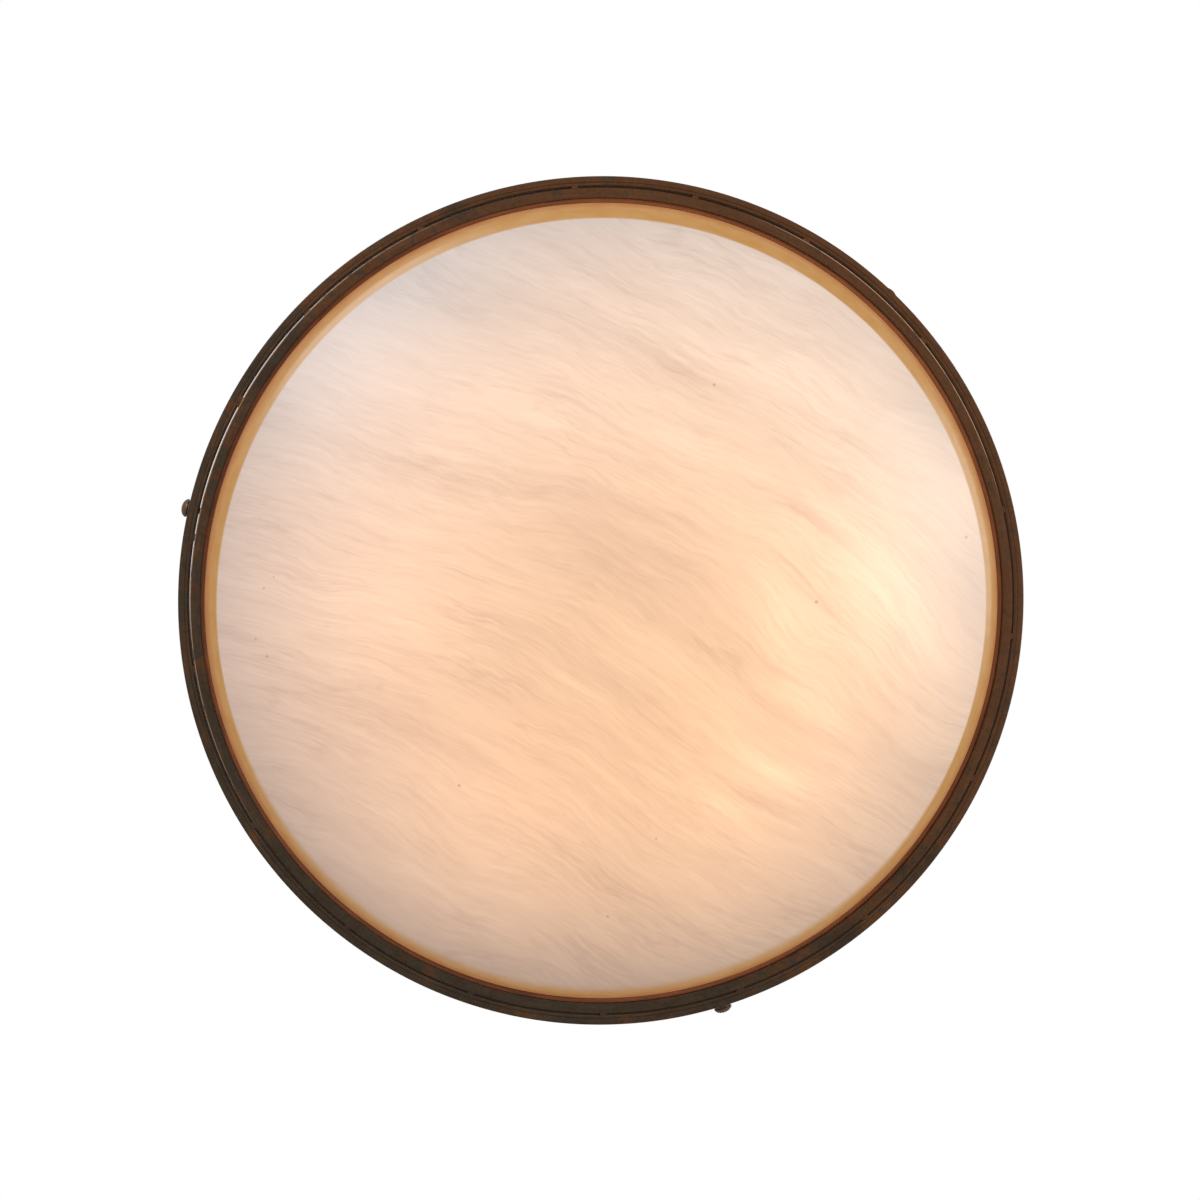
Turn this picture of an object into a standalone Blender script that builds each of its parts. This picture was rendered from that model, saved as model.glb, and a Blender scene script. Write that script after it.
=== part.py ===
"""Round flush ceiling light: a veined diffuser bowl in a double bronze hoop, held to a spun pan by three thumbscrews.

The ceiling is the plane z = 0 and the light hangs below it. Bearings run counter-clockwise as seen by someone
standing under the light, so a bearing b lies at (cos b, -sin b).
"""

import math

import bmesh
import bpy
from mathutils import Matrix

# ---- Driving dimensions, in metres -------------------------------------------------------------------------------
MM = 0.001
GAP = 0.3 * MM  # left between pieces that touch
TURN_STEPS = 60  # facets round the large turned pieces
SMALL_STEPS = 16  # and round the small ones

OUTER_RADIUS = 305 * MM
OUTER_HOOP_WALL = 6.5 * MM
HOOP_SLOT = 1.8 * MM
INNER_HOOP_FACE = 7.4 * MM
INNER_HOOP_WALL = 4 * MM
INNER_HOOP_FLANGE = 4 * MM
HOOP_BACK = -62 * MM
HOOP_FRONT = -96 * MM
HOOP_ROUND = 0.8 * MM

LIP_SHOW = 2.6 * MM
LIP_THICK = 3 * MM
GASKET_THICK = 1.2 * MM

SHOULDER_RADIUS = 14 * MM
SHOULDER_CLEAR = 0.4 * MM
DOME_EDGE_SLOPE = math.radians(22)
DIFFUSER_WALL = 5 * MM
DIFFUSER_FLANGE = 6 * MM

PAN_SHEET = 1.2 * MM
PAN_RADIUS = 284 * MM
PAN_BOTTOM = -79.5 * MM
PAN_CORNER = 8 * MM
RECESS_RADIUS = 78 * MM
RECESS_DEPTH = 22 * MM
NIPPLE_HOLE = 5.3 * MM
LEAD_HOLE = 6 * MM

STRAP_SIZE = (130 * MM, 20 * MM, 3 * MM)
STUD_X = 45 * MM
STUD_RADIUS = 2.5 * MM
STUD_TOP = -0.5 * MM
STUD_LENGTH = 33 * MM
THREAD_CLEAR = 0.3 * MM
CAP_NUT_RADIUS = 6 * MM
CAP_NUT_CROWN = 4.6 * MM
CAP_NUT_SKIRT = 7 * MM
CAP_NUT_BORE_DEPTH = 11 * MM
CAP_NUT_HEIGHT = 13 * MM
GROUND_X = -25 * MM
GROUND_RADIUS = 1.7 * MM
GROUND_TOP = -0.6 * MM
GROUND_HEAD_RADIUS = 3.6 * MM
GROUND_HEAD_HEIGHT = 2.5 * MM
SPARE_HOLE_X = 25 * MM
SPARE_HOLE = 2.4 * MM

LAMP_BEARINGS = (0, 60, 120, 180, 240, 300)
LAMP_Z = -42 * MM
HOLDER_START = 104 * MM
HOLDER_LENGTH = 40 * MM
HOLDER_RADIUS = 19 * MM
HOLDER_BORE = 14 * MM
HOLDER_BACK = 12 * MM
HOLDER_WAIST = 16 * MM  # the slimmer base behind the cup
BULB_LENGTH = 105 * MM
BULB_RADIUS = 30 * MM
BULB_NECK = (13.4 * MM, 27 * MM)  # radius, and height above the contact
BULB_CAP_RADIUS = 13 * MM
BULB_CAP = (7 * MM, 26 * MM)  # where the screw cap starts and ends
BULB_INSULATOR = (6 * MM, 2 * MM)
BULB_CONTACT = 4.5 * MM
BRACKET_SHEET = 1.6 * MM
BRACKET_WIDTH = 30 * MM
BRACKET_DROP = 62 * MM
BRACKET_FOOT = 18 * MM
BRACKET_HOLE = 4.5 * MM
LOOM_RADIUS = 40 * MM
WIRE_RADIUS = 2.2 * MM
LEAD_RADIUS = 0.9 * WIRE_RADIUS
TAIL_TOP = -6 * MM

COVER_RIM = 68 * MM
COVER_TOP_RADIUS = 60 * MM
COVER_BOTTOM_RADIUS = 58 * MM
COVER_BOTTOM = -50 * MM
COVER_SHEET = 1 * MM
NIPPLE_RADIUS = NIPPLE_HOLE - 0.5 * MM
NIPPLE_TOP = -13 * MM
NIPPLE_BOTTOM = -57 * MM
LOCKNUT_RADIUS = 9 * MM
LOCKNUT_HEIGHT = 4 * MM
KNOB_RADIUS = 10 * MM
KNOB_SHOULDER = 2 * MM
KNOB_BORE_BOTTOM = -58 * MM
KNOB_TIP = (8 * MM, -61 * MM)
KNOB_BOTTOM = -63 * MM

TAB_BEARINGS = (13, 39.4, 61, 77.6, 94.4, 116.5, 135.9, 151.2, 170.8,
                189, 212, 231.2, 250.7, 269.5, 289.1, 309.4, 334.3, 355.1)
TAB_WIDTH = 5 * MM
WIDE_TAB = (151.2, 8 * MM)  # one tab is wider than the rest
TAB_DEPTH = 12 * MM
TAB_CLEAR = 0.55 * MM  # the hoop's facets stand inside its true radius

SCREW_BEARINGS = (46.8, 167.2, 286.5)
SCREW_STAND_OFF = (0, 0.3 * MM, 5.0 * MM)  # how far each one is backed out
SCREW_Z = -67 * MM
SCREW_SHANK = 2.5 * MM
SCREW_TIP = 285 * MM
SCREW_HEAD_RADIUS = 6.6 * MM
SCREW_HEAD_HEIGHT = 4.5 * MM
WASHER_RADIUS = 6.2 * MM
WASHER_THICK = 0.8 * MM

# ---- Worked out from them ----------------------------------------------------------------------------------------
SLOT_OUTER = OUTER_RADIUS - OUTER_HOOP_WALL
SLOT_INNER = SLOT_OUTER - HOOP_SLOT
HOOP_BORE = SLOT_INNER - INNER_HOOP_WALL
FLANGE_BORE = SLOT_INNER - INNER_HOOP_FACE
LIP_BORE = FLANGE_BORE - LIP_SHOW
LIP_BOTTOM = HOOP_FRONT + INNER_HOOP_FLANGE + GAP
GASKET_BOTTOM = LIP_BOTTOM + LIP_THICK + GAP
FLANGE_BOTTOM = GASKET_BOTTOM + GASKET_THICK + GAP
SHOULDER_OUTER = LIP_BORE - SHOULDER_CLEAR
SHOULDER_TOP = LIP_BOTTOM + LIP_THICK / 2


def material(name, colour, roughness, metallic=0.0):
    """A Principled material of one colour."""
    made = bpy.data.materials.new(name)
    made.use_nodes = True
    shader = made.node_tree.nodes["Principled BSDF"]
    shader.inputs["Base Color"].default_value = (*colour, 1.0)
    shader.inputs["Roughness"].default_value = roughness
    shader.inputs["Metallic"].default_value = metallic
    return made


def clear_scene():
    for old in list(bpy.data.objects):
        bpy.data.objects.remove(old, do_unlink=True)


def new_collection(name):
    made = bpy.data.collections.new(name)
    bpy.context.scene.collection.children.link(made)
    return made


def bearing_matrix(bearing):
    """Turns local +X to a bearing as seen from below."""
    return Matrix.Rotation(-math.radians(bearing), 4, "Z")


def radial_matrix(bearing, height, start=0.0):
    """Puts local +Z along a bearing, with the local origin at radius start and the given height."""
    place = bearing_matrix(bearing) @ Matrix.Translation((start, 0, height))
    return place @ Matrix.Rotation(math.pi / 2, 4, "Y")


class Model:
    """Holds the two collections and makes the named pieces in them."""

    def __init__(self):
        self.parts = new_collection("ceiling_light")
        self.cutters = new_collection("ceiling_light_cutters")

    def add(self, name, mesh, look=None, place=None):
        made = bpy.data.objects.new(name, mesh)
        self.parts.objects.link(made)
        if look:
            made.data.materials.append(look)
        if place:
            made.matrix_world = place
        return made

    def add_cutter(self, name, mesh, place):
        made = bpy.data.objects.new(name, mesh)
        made.matrix_world = place
        made.hide_render = True
        made.display_type = "WIRE"
        self.cutters.objects.link(made)
        return made

    def boolean(self, target, cutter, operation="DIFFERENCE"):
        step = target.modifiers.new(f"{operation.title()} {cutter.name}", "BOOLEAN")
        step.operation = operation
        step.object = cutter
        step.solver = "EXACT"

    def drill(self, target, name, radius, length, place, sides=20):
        """A round hole centred on the given place, along its local Z."""
        cutter = self.add_cutter(name, cylinder_mesh(name, radius, length, sides), place)
        self.boolean(target, cutter)


def cylinder_mesh(name, radius, length, sides=24, centred=True):
    mesh = bpy.data.meshes.new(name)
    work = bmesh.new()
    bmesh.ops.create_cone(work, cap_ends=True, segments=sides, radius1=radius, radius2=radius, depth=length)
    if not centred:
        bmesh.ops.translate(work, verts=work.verts, vec=(0, 0, length / 2))
    work.to_mesh(mesh)
    work.free()
    return mesh


def box_mesh(name, size, centre):
    mesh = bpy.data.meshes.new(name)
    work = bmesh.new()
    bmesh.ops.create_cube(work, size=1.0)
    bmesh.ops.scale(work, verts=work.verts, vec=size)
    bmesh.ops.translate(work, verts=work.verts, vec=centre)
    work.to_mesh(mesh)
    work.free()
    return mesh


def turned(model, name, profile, look, closed=True, steps=TURN_STEPS, place=None):
    """A profile of (radius, height) points, which runs down its outer side, turned about local Z."""
    count = len(profile)
    edges = [(i, i + 1) for i in range(count - 1)]
    if closed:
        edges.append((count - 1, 0))
    mesh = bpy.data.meshes.new(name)
    mesh.from_pydata([(radius, 0, height) for radius, height in profile], edges, [])
    made = model.add(name, mesh, look, place)
    screw = made.modifiers.new("Turn", "SCREW")
    screw.axis = "Z"
    screw.steps = steps
    screw.render_steps = steps
    screw.use_merge_vertices = True
    screw.merge_threshold = 0.00005
    screw.use_smooth_shade = True
    return made


def arc(centre, radius, start, end, steps):
    """Points round an arc in the (radius, height) plane, from one angle to another, both ends included."""
    angles = [start + (end - start) * i / steps for i in range(steps + 1)]
    return [(centre[0] + radius * math.cos(a), centre[1] + radius * math.sin(a)) for a in angles]


def ring(inner, outer, top, bottom):
    return [(outer, top), (outer, bottom), (inner, bottom), (inner, top)]


def flat_piece(model, name, outline, holes, thickness, look, place):
    """A flat outline with holes, as a filled 2D curve made into a closed mesh."""
    curve = bpy.data.curves.new(name, "CURVE")
    curve.dimensions = "2D"
    curve.fill_mode = "BOTH"
    curve.extrude = thickness / 2
    for loop in (outline, *holes):
        spline = curve.splines.new("POLY")
        spline.points.add(len(loop) - 1)
        for point, (x, y) in zip(spline.points, loop):
            point.co = (x, y, 0, 1)
        spline.use_cyclic_u = True
    guide = bpy.data.objects.new(name + "_outline", curve)
    bpy.context.scene.collection.objects.link(guide)
    bpy.context.view_layer.update()
    mesh = bpy.data.meshes.new_from_object(guide.evaluated_get(bpy.context.evaluated_depsgraph_get()))
    bpy.data.objects.remove(guide)
    mesh.name = name
    work = bmesh.new()
    work.from_mesh(mesh)
    bmesh.ops.remove_doubles(work, verts=work.verts, dist=0.00001)
    bmesh.ops.recalc_face_normals(work, faces=work.faces)
    work.to_mesh(mesh)
    work.free()
    mesh.materials.clear()
    return model.add(name, mesh, look, place)


def circle(radius, sides, x=0.0, y=0.0):
    turns = [2 * math.pi * i / sides for i in range(sides)]
    return [(x + radius * math.cos(t), y + radius * math.sin(t)) for t in turns]


# ---- The pan and what hangs it -----------------------------------------------------------------------------------
def make_pan(model, look):
    """A spun sheet pan: a skirt, a flat back, and a central recess that clears the outlet box and its strap."""
    outer_corner = (PAN_RADIUS - PAN_CORNER, -PAN_CORNER)
    inner_round = PAN_CORNER - PAN_SHEET
    floor = -RECESS_DEPTH
    profile = arc(outer_corner, PAN_CORNER, math.pi / 2, 0, 3)
    profile += [(PAN_RADIUS, PAN_BOTTOM), (PAN_RADIUS - PAN_SHEET, PAN_BOTTOM)]
    profile += arc(outer_corner, inner_round, 0, math.pi / 2, 3)
    profile += [(RECESS_RADIUS + PAN_SHEET, -PAN_SHEET), (RECESS_RADIUS + PAN_SHEET, floor - PAN_SHEET),
                (NIPPLE_HOLE, floor - PAN_SHEET), (NIPPLE_HOLE, floor), (RECESS_RADIUS, floor), (RECESS_RADIUS, 0)]
    pan = turned(model, "ceiling_pan", profile, look)
    through = 4 * PAN_SHEET
    for side in (-1, 1):
        place = Matrix.Translation((side * STUD_X, 0, floor))
        model.drill(pan, f"stud_hole_{side}", STUD_RADIUS + 2 * THREAD_CLEAR, through, place)
    model.drill(pan, "lead_hole", LEAD_HOLE, through, Matrix.Translation((0, LOOM_RADIUS, floor)))


def make_strap(model, look):
    """The bar across the outlet box, with its two studs, their cap nuts and the ground screw."""
    length, width, thick = STRAP_SIZE
    turns = [math.pi * i / 8 - math.pi / 2 for i in range(9)]
    half = length / 2 - width / 2
    outline = [(half + width / 2 * math.cos(t), width / 2 * math.sin(t)) for t in turns]
    outline += [(-x, -y) for x, y in outline]
    bore = STUD_RADIUS + THREAD_CLEAR
    holes = [circle(bore, 16, x) for x in (-STUD_X, STUD_X)]
    holes += [circle(GROUND_RADIUS + THREAD_CLEAR, 12, GROUND_X), circle(SPARE_HOLE, 12, SPARE_HOLE_X)]
    flat_piece(model, "mounting_strap", outline, holes, thick, look, Matrix.Translation((0, 0, -thick / 2)))


def make_studs(model, steel, brass):
    under_floor = -RECESS_DEPTH - PAN_SHEET - GAP
    bore = STUD_RADIUS + THREAD_CLEAR
    for number, side in enumerate((-1, 1), 1):
        name = f"strap_stud_{number}"
        place = Matrix.Translation((side * STUD_X, 0, STUD_TOP - STUD_LENGTH / 2))
        model.add(name, cylinder_mesh(name, STUD_RADIUS, STUD_LENGTH, 16), steel, place)
        nut = [(0, -CAP_NUT_BORE_DEPTH), (bore, -CAP_NUT_BORE_DEPTH), (bore, 0), (CAP_NUT_RADIUS, 0),
               (CAP_NUT_RADIUS, -CAP_NUT_SKIRT), (CAP_NUT_CROWN, -CAP_NUT_BORE_DEPTH), (0, -CAP_NUT_HEIGHT)]
        place = Matrix.Translation((side * STUD_X, 0, under_floor))
        turned(model, f"cap_nut_{number}", nut, brass, closed=False, steps=12, place=place)


def make_ground_screw(model, look):
    head_top = -STRAP_SIZE[2] - GAP
    head_bottom = head_top - GROUND_HEAD_HEIGHT
    edge = 1 * MM
    profile = [(0, GROUND_TOP), (GROUND_RADIUS, GROUND_TOP), (GROUND_RADIUS, head_top),
               (GROUND_HEAD_RADIUS, head_top), (GROUND_HEAD_RADIUS, head_bottom + edge),
               (GROUND_HEAD_RADIUS - edge, head_bottom), (0, head_bottom)]
    place = Matrix.Translation((GROUND_X, 0, 0))
    turned(model, "ground_screw", profile, look, closed=False, steps=12, place=place)


def make_cover(model, white, brass):
    """The cup over the wire splices, on a threaded nipple through the pan's centre."""
    rim_top = -RECESS_DEPTH - PAN_SHEET - GAP
    bottom = COVER_BOTTOM
    profile = [(COVER_RIM, rim_top), (COVER_RIM, rim_top - COVER_SHEET),
               (COVER_TOP_RADIUS + COVER_SHEET, rim_top - COVER_SHEET),
               (COVER_BOTTOM_RADIUS + COVER_SHEET, bottom), (NIPPLE_HOLE, bottom),
               (NIPPLE_HOLE, bottom + COVER_SHEET), (COVER_BOTTOM_RADIUS, bottom + COVER_SHEET),
               (COVER_TOP_RADIUS, rim_top)]
    cover = turned(model, "wiring_cover", profile, white, steps=36)
    for bearing in LAMP_BEARINGS:
        place = radial_matrix(bearing, LAMP_Z, COVER_BOTTOM_RADIUS)
        model.drill(cover, f"wire_hole_{bearing}", 1.6 * WIRE_RADIUS, 14 * MM, place, 12)
    stem = cylinder_mesh("pan_nipple", NIPPLE_RADIUS, NIPPLE_TOP - NIPPLE_BOTTOM, 20)
    model.add("pan_nipple", stem, brass, Matrix.Translation((0, 0, (NIPPLE_TOP + NIPPLE_BOTTOM) / 2)))
    bore = NIPPLE_RADIUS + THREAD_CLEAR
    lock_bottom = -RECESS_DEPTH + GAP
    locknut = ring(bore, LOCKNUT_RADIUS, lock_bottom + LOCKNUT_HEIGHT, lock_bottom)
    turned(model, "nipple_locknut", locknut, brass, steps=20)
    top = bottom - GAP
    knob = [(0, KNOB_BORE_BOTTOM), (bore, KNOB_BORE_BOTTOM), (bore, top), (KNOB_RADIUS - 1 * MM, top),
            (KNOB_RADIUS, top - KNOB_SHOULDER), (KNOB_RADIUS, NIPPLE_BOTTOM), KNOB_TIP, (0, KNOB_BOTTOM)]
    turned(model, "cover_nut", knob, brass, closed=False, steps=20)


def make_loom(model, look):
    """The lamp leads: a ring inside the cover, one branch to each lampholder, and a tail up to the outlet box."""
    bpy.ops.mesh.primitive_torus_add(major_radius=LOOM_RADIUS, minor_radius=WIRE_RADIUS,
                                     major_segments=36, minor_segments=6)
    guide = bpy.context.object
    mesh = guide.data.copy()
    bpy.data.objects.remove(guide)
    loom = model.add("wiring_loom", mesh, look, Matrix.Translation((0, 0, LAMP_Z)))
    reach = HOLDER_START - 2 * GAP - LOOM_RADIUS
    for bearing in LAMP_BEARINGS:
        name = f"lamp_lead_{bearing}"
        lead = cylinder_mesh(name, LEAD_RADIUS, reach, 8, centred=False)
        cutter = model.add_cutter(name, lead, radial_matrix(bearing, LAMP_Z, LOOM_RADIUS))
        model.boolean(loom, cutter, "UNION")
    tail = cylinder_mesh("supply_tail", LEAD_RADIUS, TAIL_TOP - LAMP_Z, 8, centred=False)
    cutter = model.add_cutter("supply_tail", tail, Matrix.Translation((0, LOOM_RADIUS, LAMP_Z)))
    model.boolean(loom, cutter, "UNION")


# ---- Lamps -------------------------------------------------------------------------------------------------------
def bulb_profile():
    """A pear-shaped lamp along local Z, contact at 0, drawn from its tip down to its contact."""
    globe_centre = (0, BULB_LENGTH - BULB_RADIUS)
    globe = arc(globe_centre, BULB_RADIUS, math.pi / 2, -math.pi / 5, 6)
    join_radius, join_height = globe[-1]
    neck_radius, neck_height = BULB_NECK
    neck = []
    for i in range(1, 3):
        t = i / 3
        ease = t * t * (3 - 2 * t)
        neck.append((join_radius + (neck_radius - join_radius) * (0.35 * t + 0.65 * ease),
                     join_height + (neck_height - join_height) * t))
    cap_start, cap_end = BULB_CAP
    base = [BULB_NECK, (BULB_CAP_RADIUS, cap_end), (BULB_CAP_RADIUS, cap_start), BULB_INSULATOR, (BULB_CONTACT, 0)]
    globe[0] = (0, BULB_LENGTH)
    return globe + neck + base + [(0, 0)]


def make_lamp(model, number, bearing, looks):
    base = HOLDER_RADIUS - 3 * MM
    holder = [(0, HOLDER_BACK), (HOLDER_BORE, HOLDER_BACK), (HOLDER_BORE, HOLDER_LENGTH),
              (HOLDER_RADIUS, HOLDER_LENGTH), (HOLDER_RADIUS, HOLDER_WAIST), (base, HOLDER_BACK), (base, 0), (0, 0)]
    place = radial_matrix(bearing, LAMP_Z, HOLDER_START)
    turned(model, f"lampholder_{number}", holder, looks["porcelain"], closed=False, steps=SMALL_STEPS, place=place)
    place = radial_matrix(bearing, LAMP_Z, HOLDER_START + HOLDER_BACK + 2 * GAP)
    turned(model, f"bulb_{number}", bulb_profile(), looks["frosted"], closed=False, steps=SMALL_STEPS, place=place)
    make_bracket(model, number, bearing, looks["steel"])


def make_bracket(model, number, bearing, look):
    """A bent strip: a foot on the pan's back and a plate behind the lampholder, with a hole for its lead."""
    plate_outer = HOLDER_START - GAP
    plate_inner = plate_outer - BRACKET_SHEET
    top = -PAN_SHEET - GAP
    foot = plate_outer - BRACKET_FOOT
    outline = [(foot, top), (foot, top - BRACKET_SHEET), (plate_inner, top - BRACKET_SHEET),
               (plate_inner, top - BRACKET_DROP), (plate_outer, top - BRACKET_DROP), (plate_outer, top)]
    upright = Matrix.Rotation(math.pi / 2, 4, "X")
    name = f"socket_bracket_{number}"
    bracket = flat_piece(model, name, outline, [], BRACKET_WIDTH, look, bearing_matrix(bearing) @ upright)
    place = radial_matrix(bearing, LAMP_Z, plate_outer)
    model.drill(bracket, f"{name}_hole", BRACKET_HOLE, 4 * BRACKET_SHEET, place, 12)


# ---- The shade: hoops, lip, diffuser -----------------------------------------------------------------------------
def make_hoops(model, bronze):
    edge = HOOP_ROUND
    outer = [(OUTER_RADIUS, HOOP_BACK), (OUTER_RADIUS, HOOP_FRONT + edge), (OUTER_RADIUS - edge, HOOP_FRONT),
             (SLOT_OUTER, HOOP_FRONT), (SLOT_OUTER, HOOP_BACK)]
    outer_hoop = turned(model, "outer_hoop", outer, bronze)
    flange_top = HOOP_FRONT + INNER_HOOP_FLANGE
    inner = [(SLOT_INNER, HOOP_BACK), (SLOT_INNER, HOOP_FRONT), (FLANGE_BORE + edge, HOOP_FRONT),
             (FLANGE_BORE, HOOP_FRONT + edge), (FLANGE_BORE, flange_top), (HOOP_BORE, flange_top),
             (HOOP_BORE, HOOP_BACK)]
    inner_hoop = turned(model, "inner_hoop", inner, bronze)
    for number, bearing in enumerate(SCREW_BEARINGS, 1):
        for hoop, radius in ((outer_hoop, OUTER_RADIUS), (inner_hoop, SLOT_INNER)):
            place = radial_matrix(bearing, SCREW_Z, radius - 3 * MM)
            name = f"{hoop.name}_screw_hole_{number}"
            model.drill(hoop, name, SCREW_SHANK + THREAD_CLEAR, 16 * MM, place, 16)


def make_tabs(model, bronze):
    """The short welded spacers that hold the two hoops apart."""
    inner, outer = SLOT_INNER + GAP, SLOT_OUTER - TAB_CLEAR
    centre = ((inner + outer) / 2, 0, HOOP_FRONT + 0.5 * MM + TAB_DEPTH / 2)
    for number, bearing in enumerate(TAB_BEARINGS, 1):
        width = WIDE_TAB[1] if bearing == WIDE_TAB[0] else TAB_WIDTH
        name = f"spacer_tab_{number:02d}"
        mesh = box_mesh(name, (outer - inner, width, TAB_DEPTH), centre)
        model.add(name, mesh, bronze, bearing_matrix(bearing))


def diffuser_profile():
    """A flange, a rounded shoulder that comes down through the lip, and a shallow dome, drawn as a shell."""
    shoulder = (SHOULDER_OUTER - SHOULDER_RADIUS, SHOULDER_TOP - 0.5 * MM)
    end = DOME_EDGE_SLOPE - math.pi / 2
    outer_shoulder = arc(shoulder, SHOULDER_RADIUS, 0, end, 3)
    dome_radius = outer_shoulder[-1][0] / math.sin(DOME_EDGE_SLOPE)
    dome = (0, outer_shoulder[-1][1] + dome_radius * math.cos(DOME_EDGE_SLOPE))
    outer_dome = arc(dome, dome_radius, end, -math.pi / 2, 5)
    inner_dome = arc(dome, dome_radius - DIFFUSER_WALL, -math.pi / 2, end, 5)
    inner_shoulder = arc(shoulder, SHOULDER_RADIUS - DIFFUSER_WALL, end, 0, 3)
    inner_dome[0] = (0, inner_dome[0][1])
    outer_dome[-1] = (0, outer_dome[-1][1])
    flange_top = FLANGE_BOTTOM + DIFFUSER_FLANGE
    flange_outer = HOOP_BORE - 1 * MM
    flange = [(inner_shoulder[-1][0], flange_top), (flange_outer, flange_top),
              (flange_outer, FLANGE_BOTTOM), (SHOULDER_OUTER, FLANGE_BOTTOM)]
    return inner_dome + inner_shoulder[1:] + flange + outer_shoulder + outer_dome[1:]


def make_diffuser(model, looks):
    lip_outer = HOOP_BORE - GAP
    lip_top = LIP_BOTTOM + LIP_THICK
    turned(model, "retaining_lip", ring(LIP_BORE, lip_outer, lip_top, LIP_BOTTOM), looks["lip"])
    gasket = ring(LIP_BORE + 0.5 * MM, lip_outer - GAP, GASKET_BOTTOM + GASKET_THICK, GASKET_BOTTOM)
    turned(model, "diffuser_gasket", gasket, looks["felt"])
    turned(model, "diffuser", diffuser_profile(), looks["diffuser"], closed=False)


def make_thumbscrew(model, number, bearing, stand_off, bronze, brass):
    """A domed thumbscrew through both hoops, with the thin washer that stays on its shank."""
    washer_start = OUTER_RADIUS + GAP + stand_off
    place = radial_matrix(bearing, SCREW_Z, washer_start)
    washer = ring(SCREW_SHANK + THREAD_CLEAR, WASHER_RADIUS, WASHER_THICK, 0)
    turned(model, f"thumb_washer_{number}", washer, brass, steps=SMALL_STEPS, place=place)
    head = OUTER_RADIUS + WASHER_THICK + 2 * GAP - SCREW_TIP
    top = head + SCREW_HEAD_HEIGHT
    dome = []
    for i in range(6):
        a = math.pi / 2 * (1 - i / 5)
        dome.append((SCREW_HEAD_RADIUS * math.cos(a), head + 1 * MM + (SCREW_HEAD_HEIGHT - 1 * MM) * math.sin(a)))
    dome[0] = (0, top)
    profile = dome + [(SCREW_HEAD_RADIUS, head), (SCREW_SHANK, head), (SCREW_SHANK, 1 * MM),
                      (SCREW_SHANK - 0.8 * MM, 0), (0, 0)]
    place = radial_matrix(bearing, SCREW_Z, SCREW_TIP + stand_off)
    turned(model, f"thumbscrew_{number}", profile, bronze, closed=False, steps=SMALL_STEPS, place=place)


def main():
    clear_scene()
    model = Model()
    looks = {
        "bronze": material("rust_bronze", (0.078, 0.042, 0.022), 0.5, 0.8),
        "lip": material("red_bronze", (0.20, 0.075, 0.03), 0.5, 0.4),
        "white": material("white_enamel", (0.86, 0.85, 0.82), 0.35),
        "steel": material("zinc_steel", (0.62, 0.63, 0.64), 0.35, 1.0),
        "brass": material("brass", (0.72, 0.52, 0.25), 0.3, 1.0),
        "porcelain": material("porcelain", (0.88, 0.87, 0.84), 0.2),
        "frosted": material("frosted_lamp", (0.97, 0.90, 0.78), 0.4),
        "felt": material("felt", (0.72, 0.68, 0.60), 0.95),
        "diffuser": material("veined_diffuser", (0.89, 0.64, 0.46), 0.3),
        "wire": material("wire", (0.55, 0.50, 0.42), 0.6),
    }
    make_pan(model, looks["bronze"])
    make_strap(model, looks["steel"])
    make_studs(model, looks["steel"], looks["brass"])
    make_ground_screw(model, looks["brass"])
    make_cover(model, looks["white"], looks["brass"])
    make_loom(model, looks["wire"])
    for number, bearing in enumerate(LAMP_BEARINGS, 1):
        make_lamp(model, number, bearing, looks)
    make_hoops(model, looks["bronze"])
    make_tabs(model, looks["bronze"])
    make_diffuser(model, looks)
    for number, (bearing, stand_off) in enumerate(zip(SCREW_BEARINGS, SCREW_STAND_OFF), 1):
        make_thumbscrew(model, number, bearing, stand_off, looks["bronze"], looks["brass"])


main()
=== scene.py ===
"""Looks of the round flush ceiling light: patinated double hoop, veined glowing diffuser and the lamp gear.

The ceiling is z = 0 and the light hangs below it, so bearings run counter-clockwise as seen from underneath:
a bearing b lies at (cos b, -sin b).
"""

import math
import random
from math import cos, pi, radians, sin

import bmesh
import bpy
from mathutils import Matrix, Vector


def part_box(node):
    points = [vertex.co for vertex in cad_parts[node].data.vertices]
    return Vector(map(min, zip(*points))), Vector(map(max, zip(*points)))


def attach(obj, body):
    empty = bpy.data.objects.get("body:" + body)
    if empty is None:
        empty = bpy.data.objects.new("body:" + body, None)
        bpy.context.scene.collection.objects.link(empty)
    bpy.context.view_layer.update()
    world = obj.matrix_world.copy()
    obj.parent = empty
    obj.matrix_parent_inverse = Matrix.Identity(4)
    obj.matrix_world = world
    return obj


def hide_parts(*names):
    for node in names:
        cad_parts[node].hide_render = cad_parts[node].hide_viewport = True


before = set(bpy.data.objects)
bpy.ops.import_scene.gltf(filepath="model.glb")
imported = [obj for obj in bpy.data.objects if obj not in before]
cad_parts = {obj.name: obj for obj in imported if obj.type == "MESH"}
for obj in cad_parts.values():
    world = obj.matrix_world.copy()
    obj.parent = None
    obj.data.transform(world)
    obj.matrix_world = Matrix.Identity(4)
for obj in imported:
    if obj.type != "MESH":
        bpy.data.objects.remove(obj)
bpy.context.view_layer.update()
random.seed(7)

MM = 0.001
TAU = 2 * pi

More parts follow.
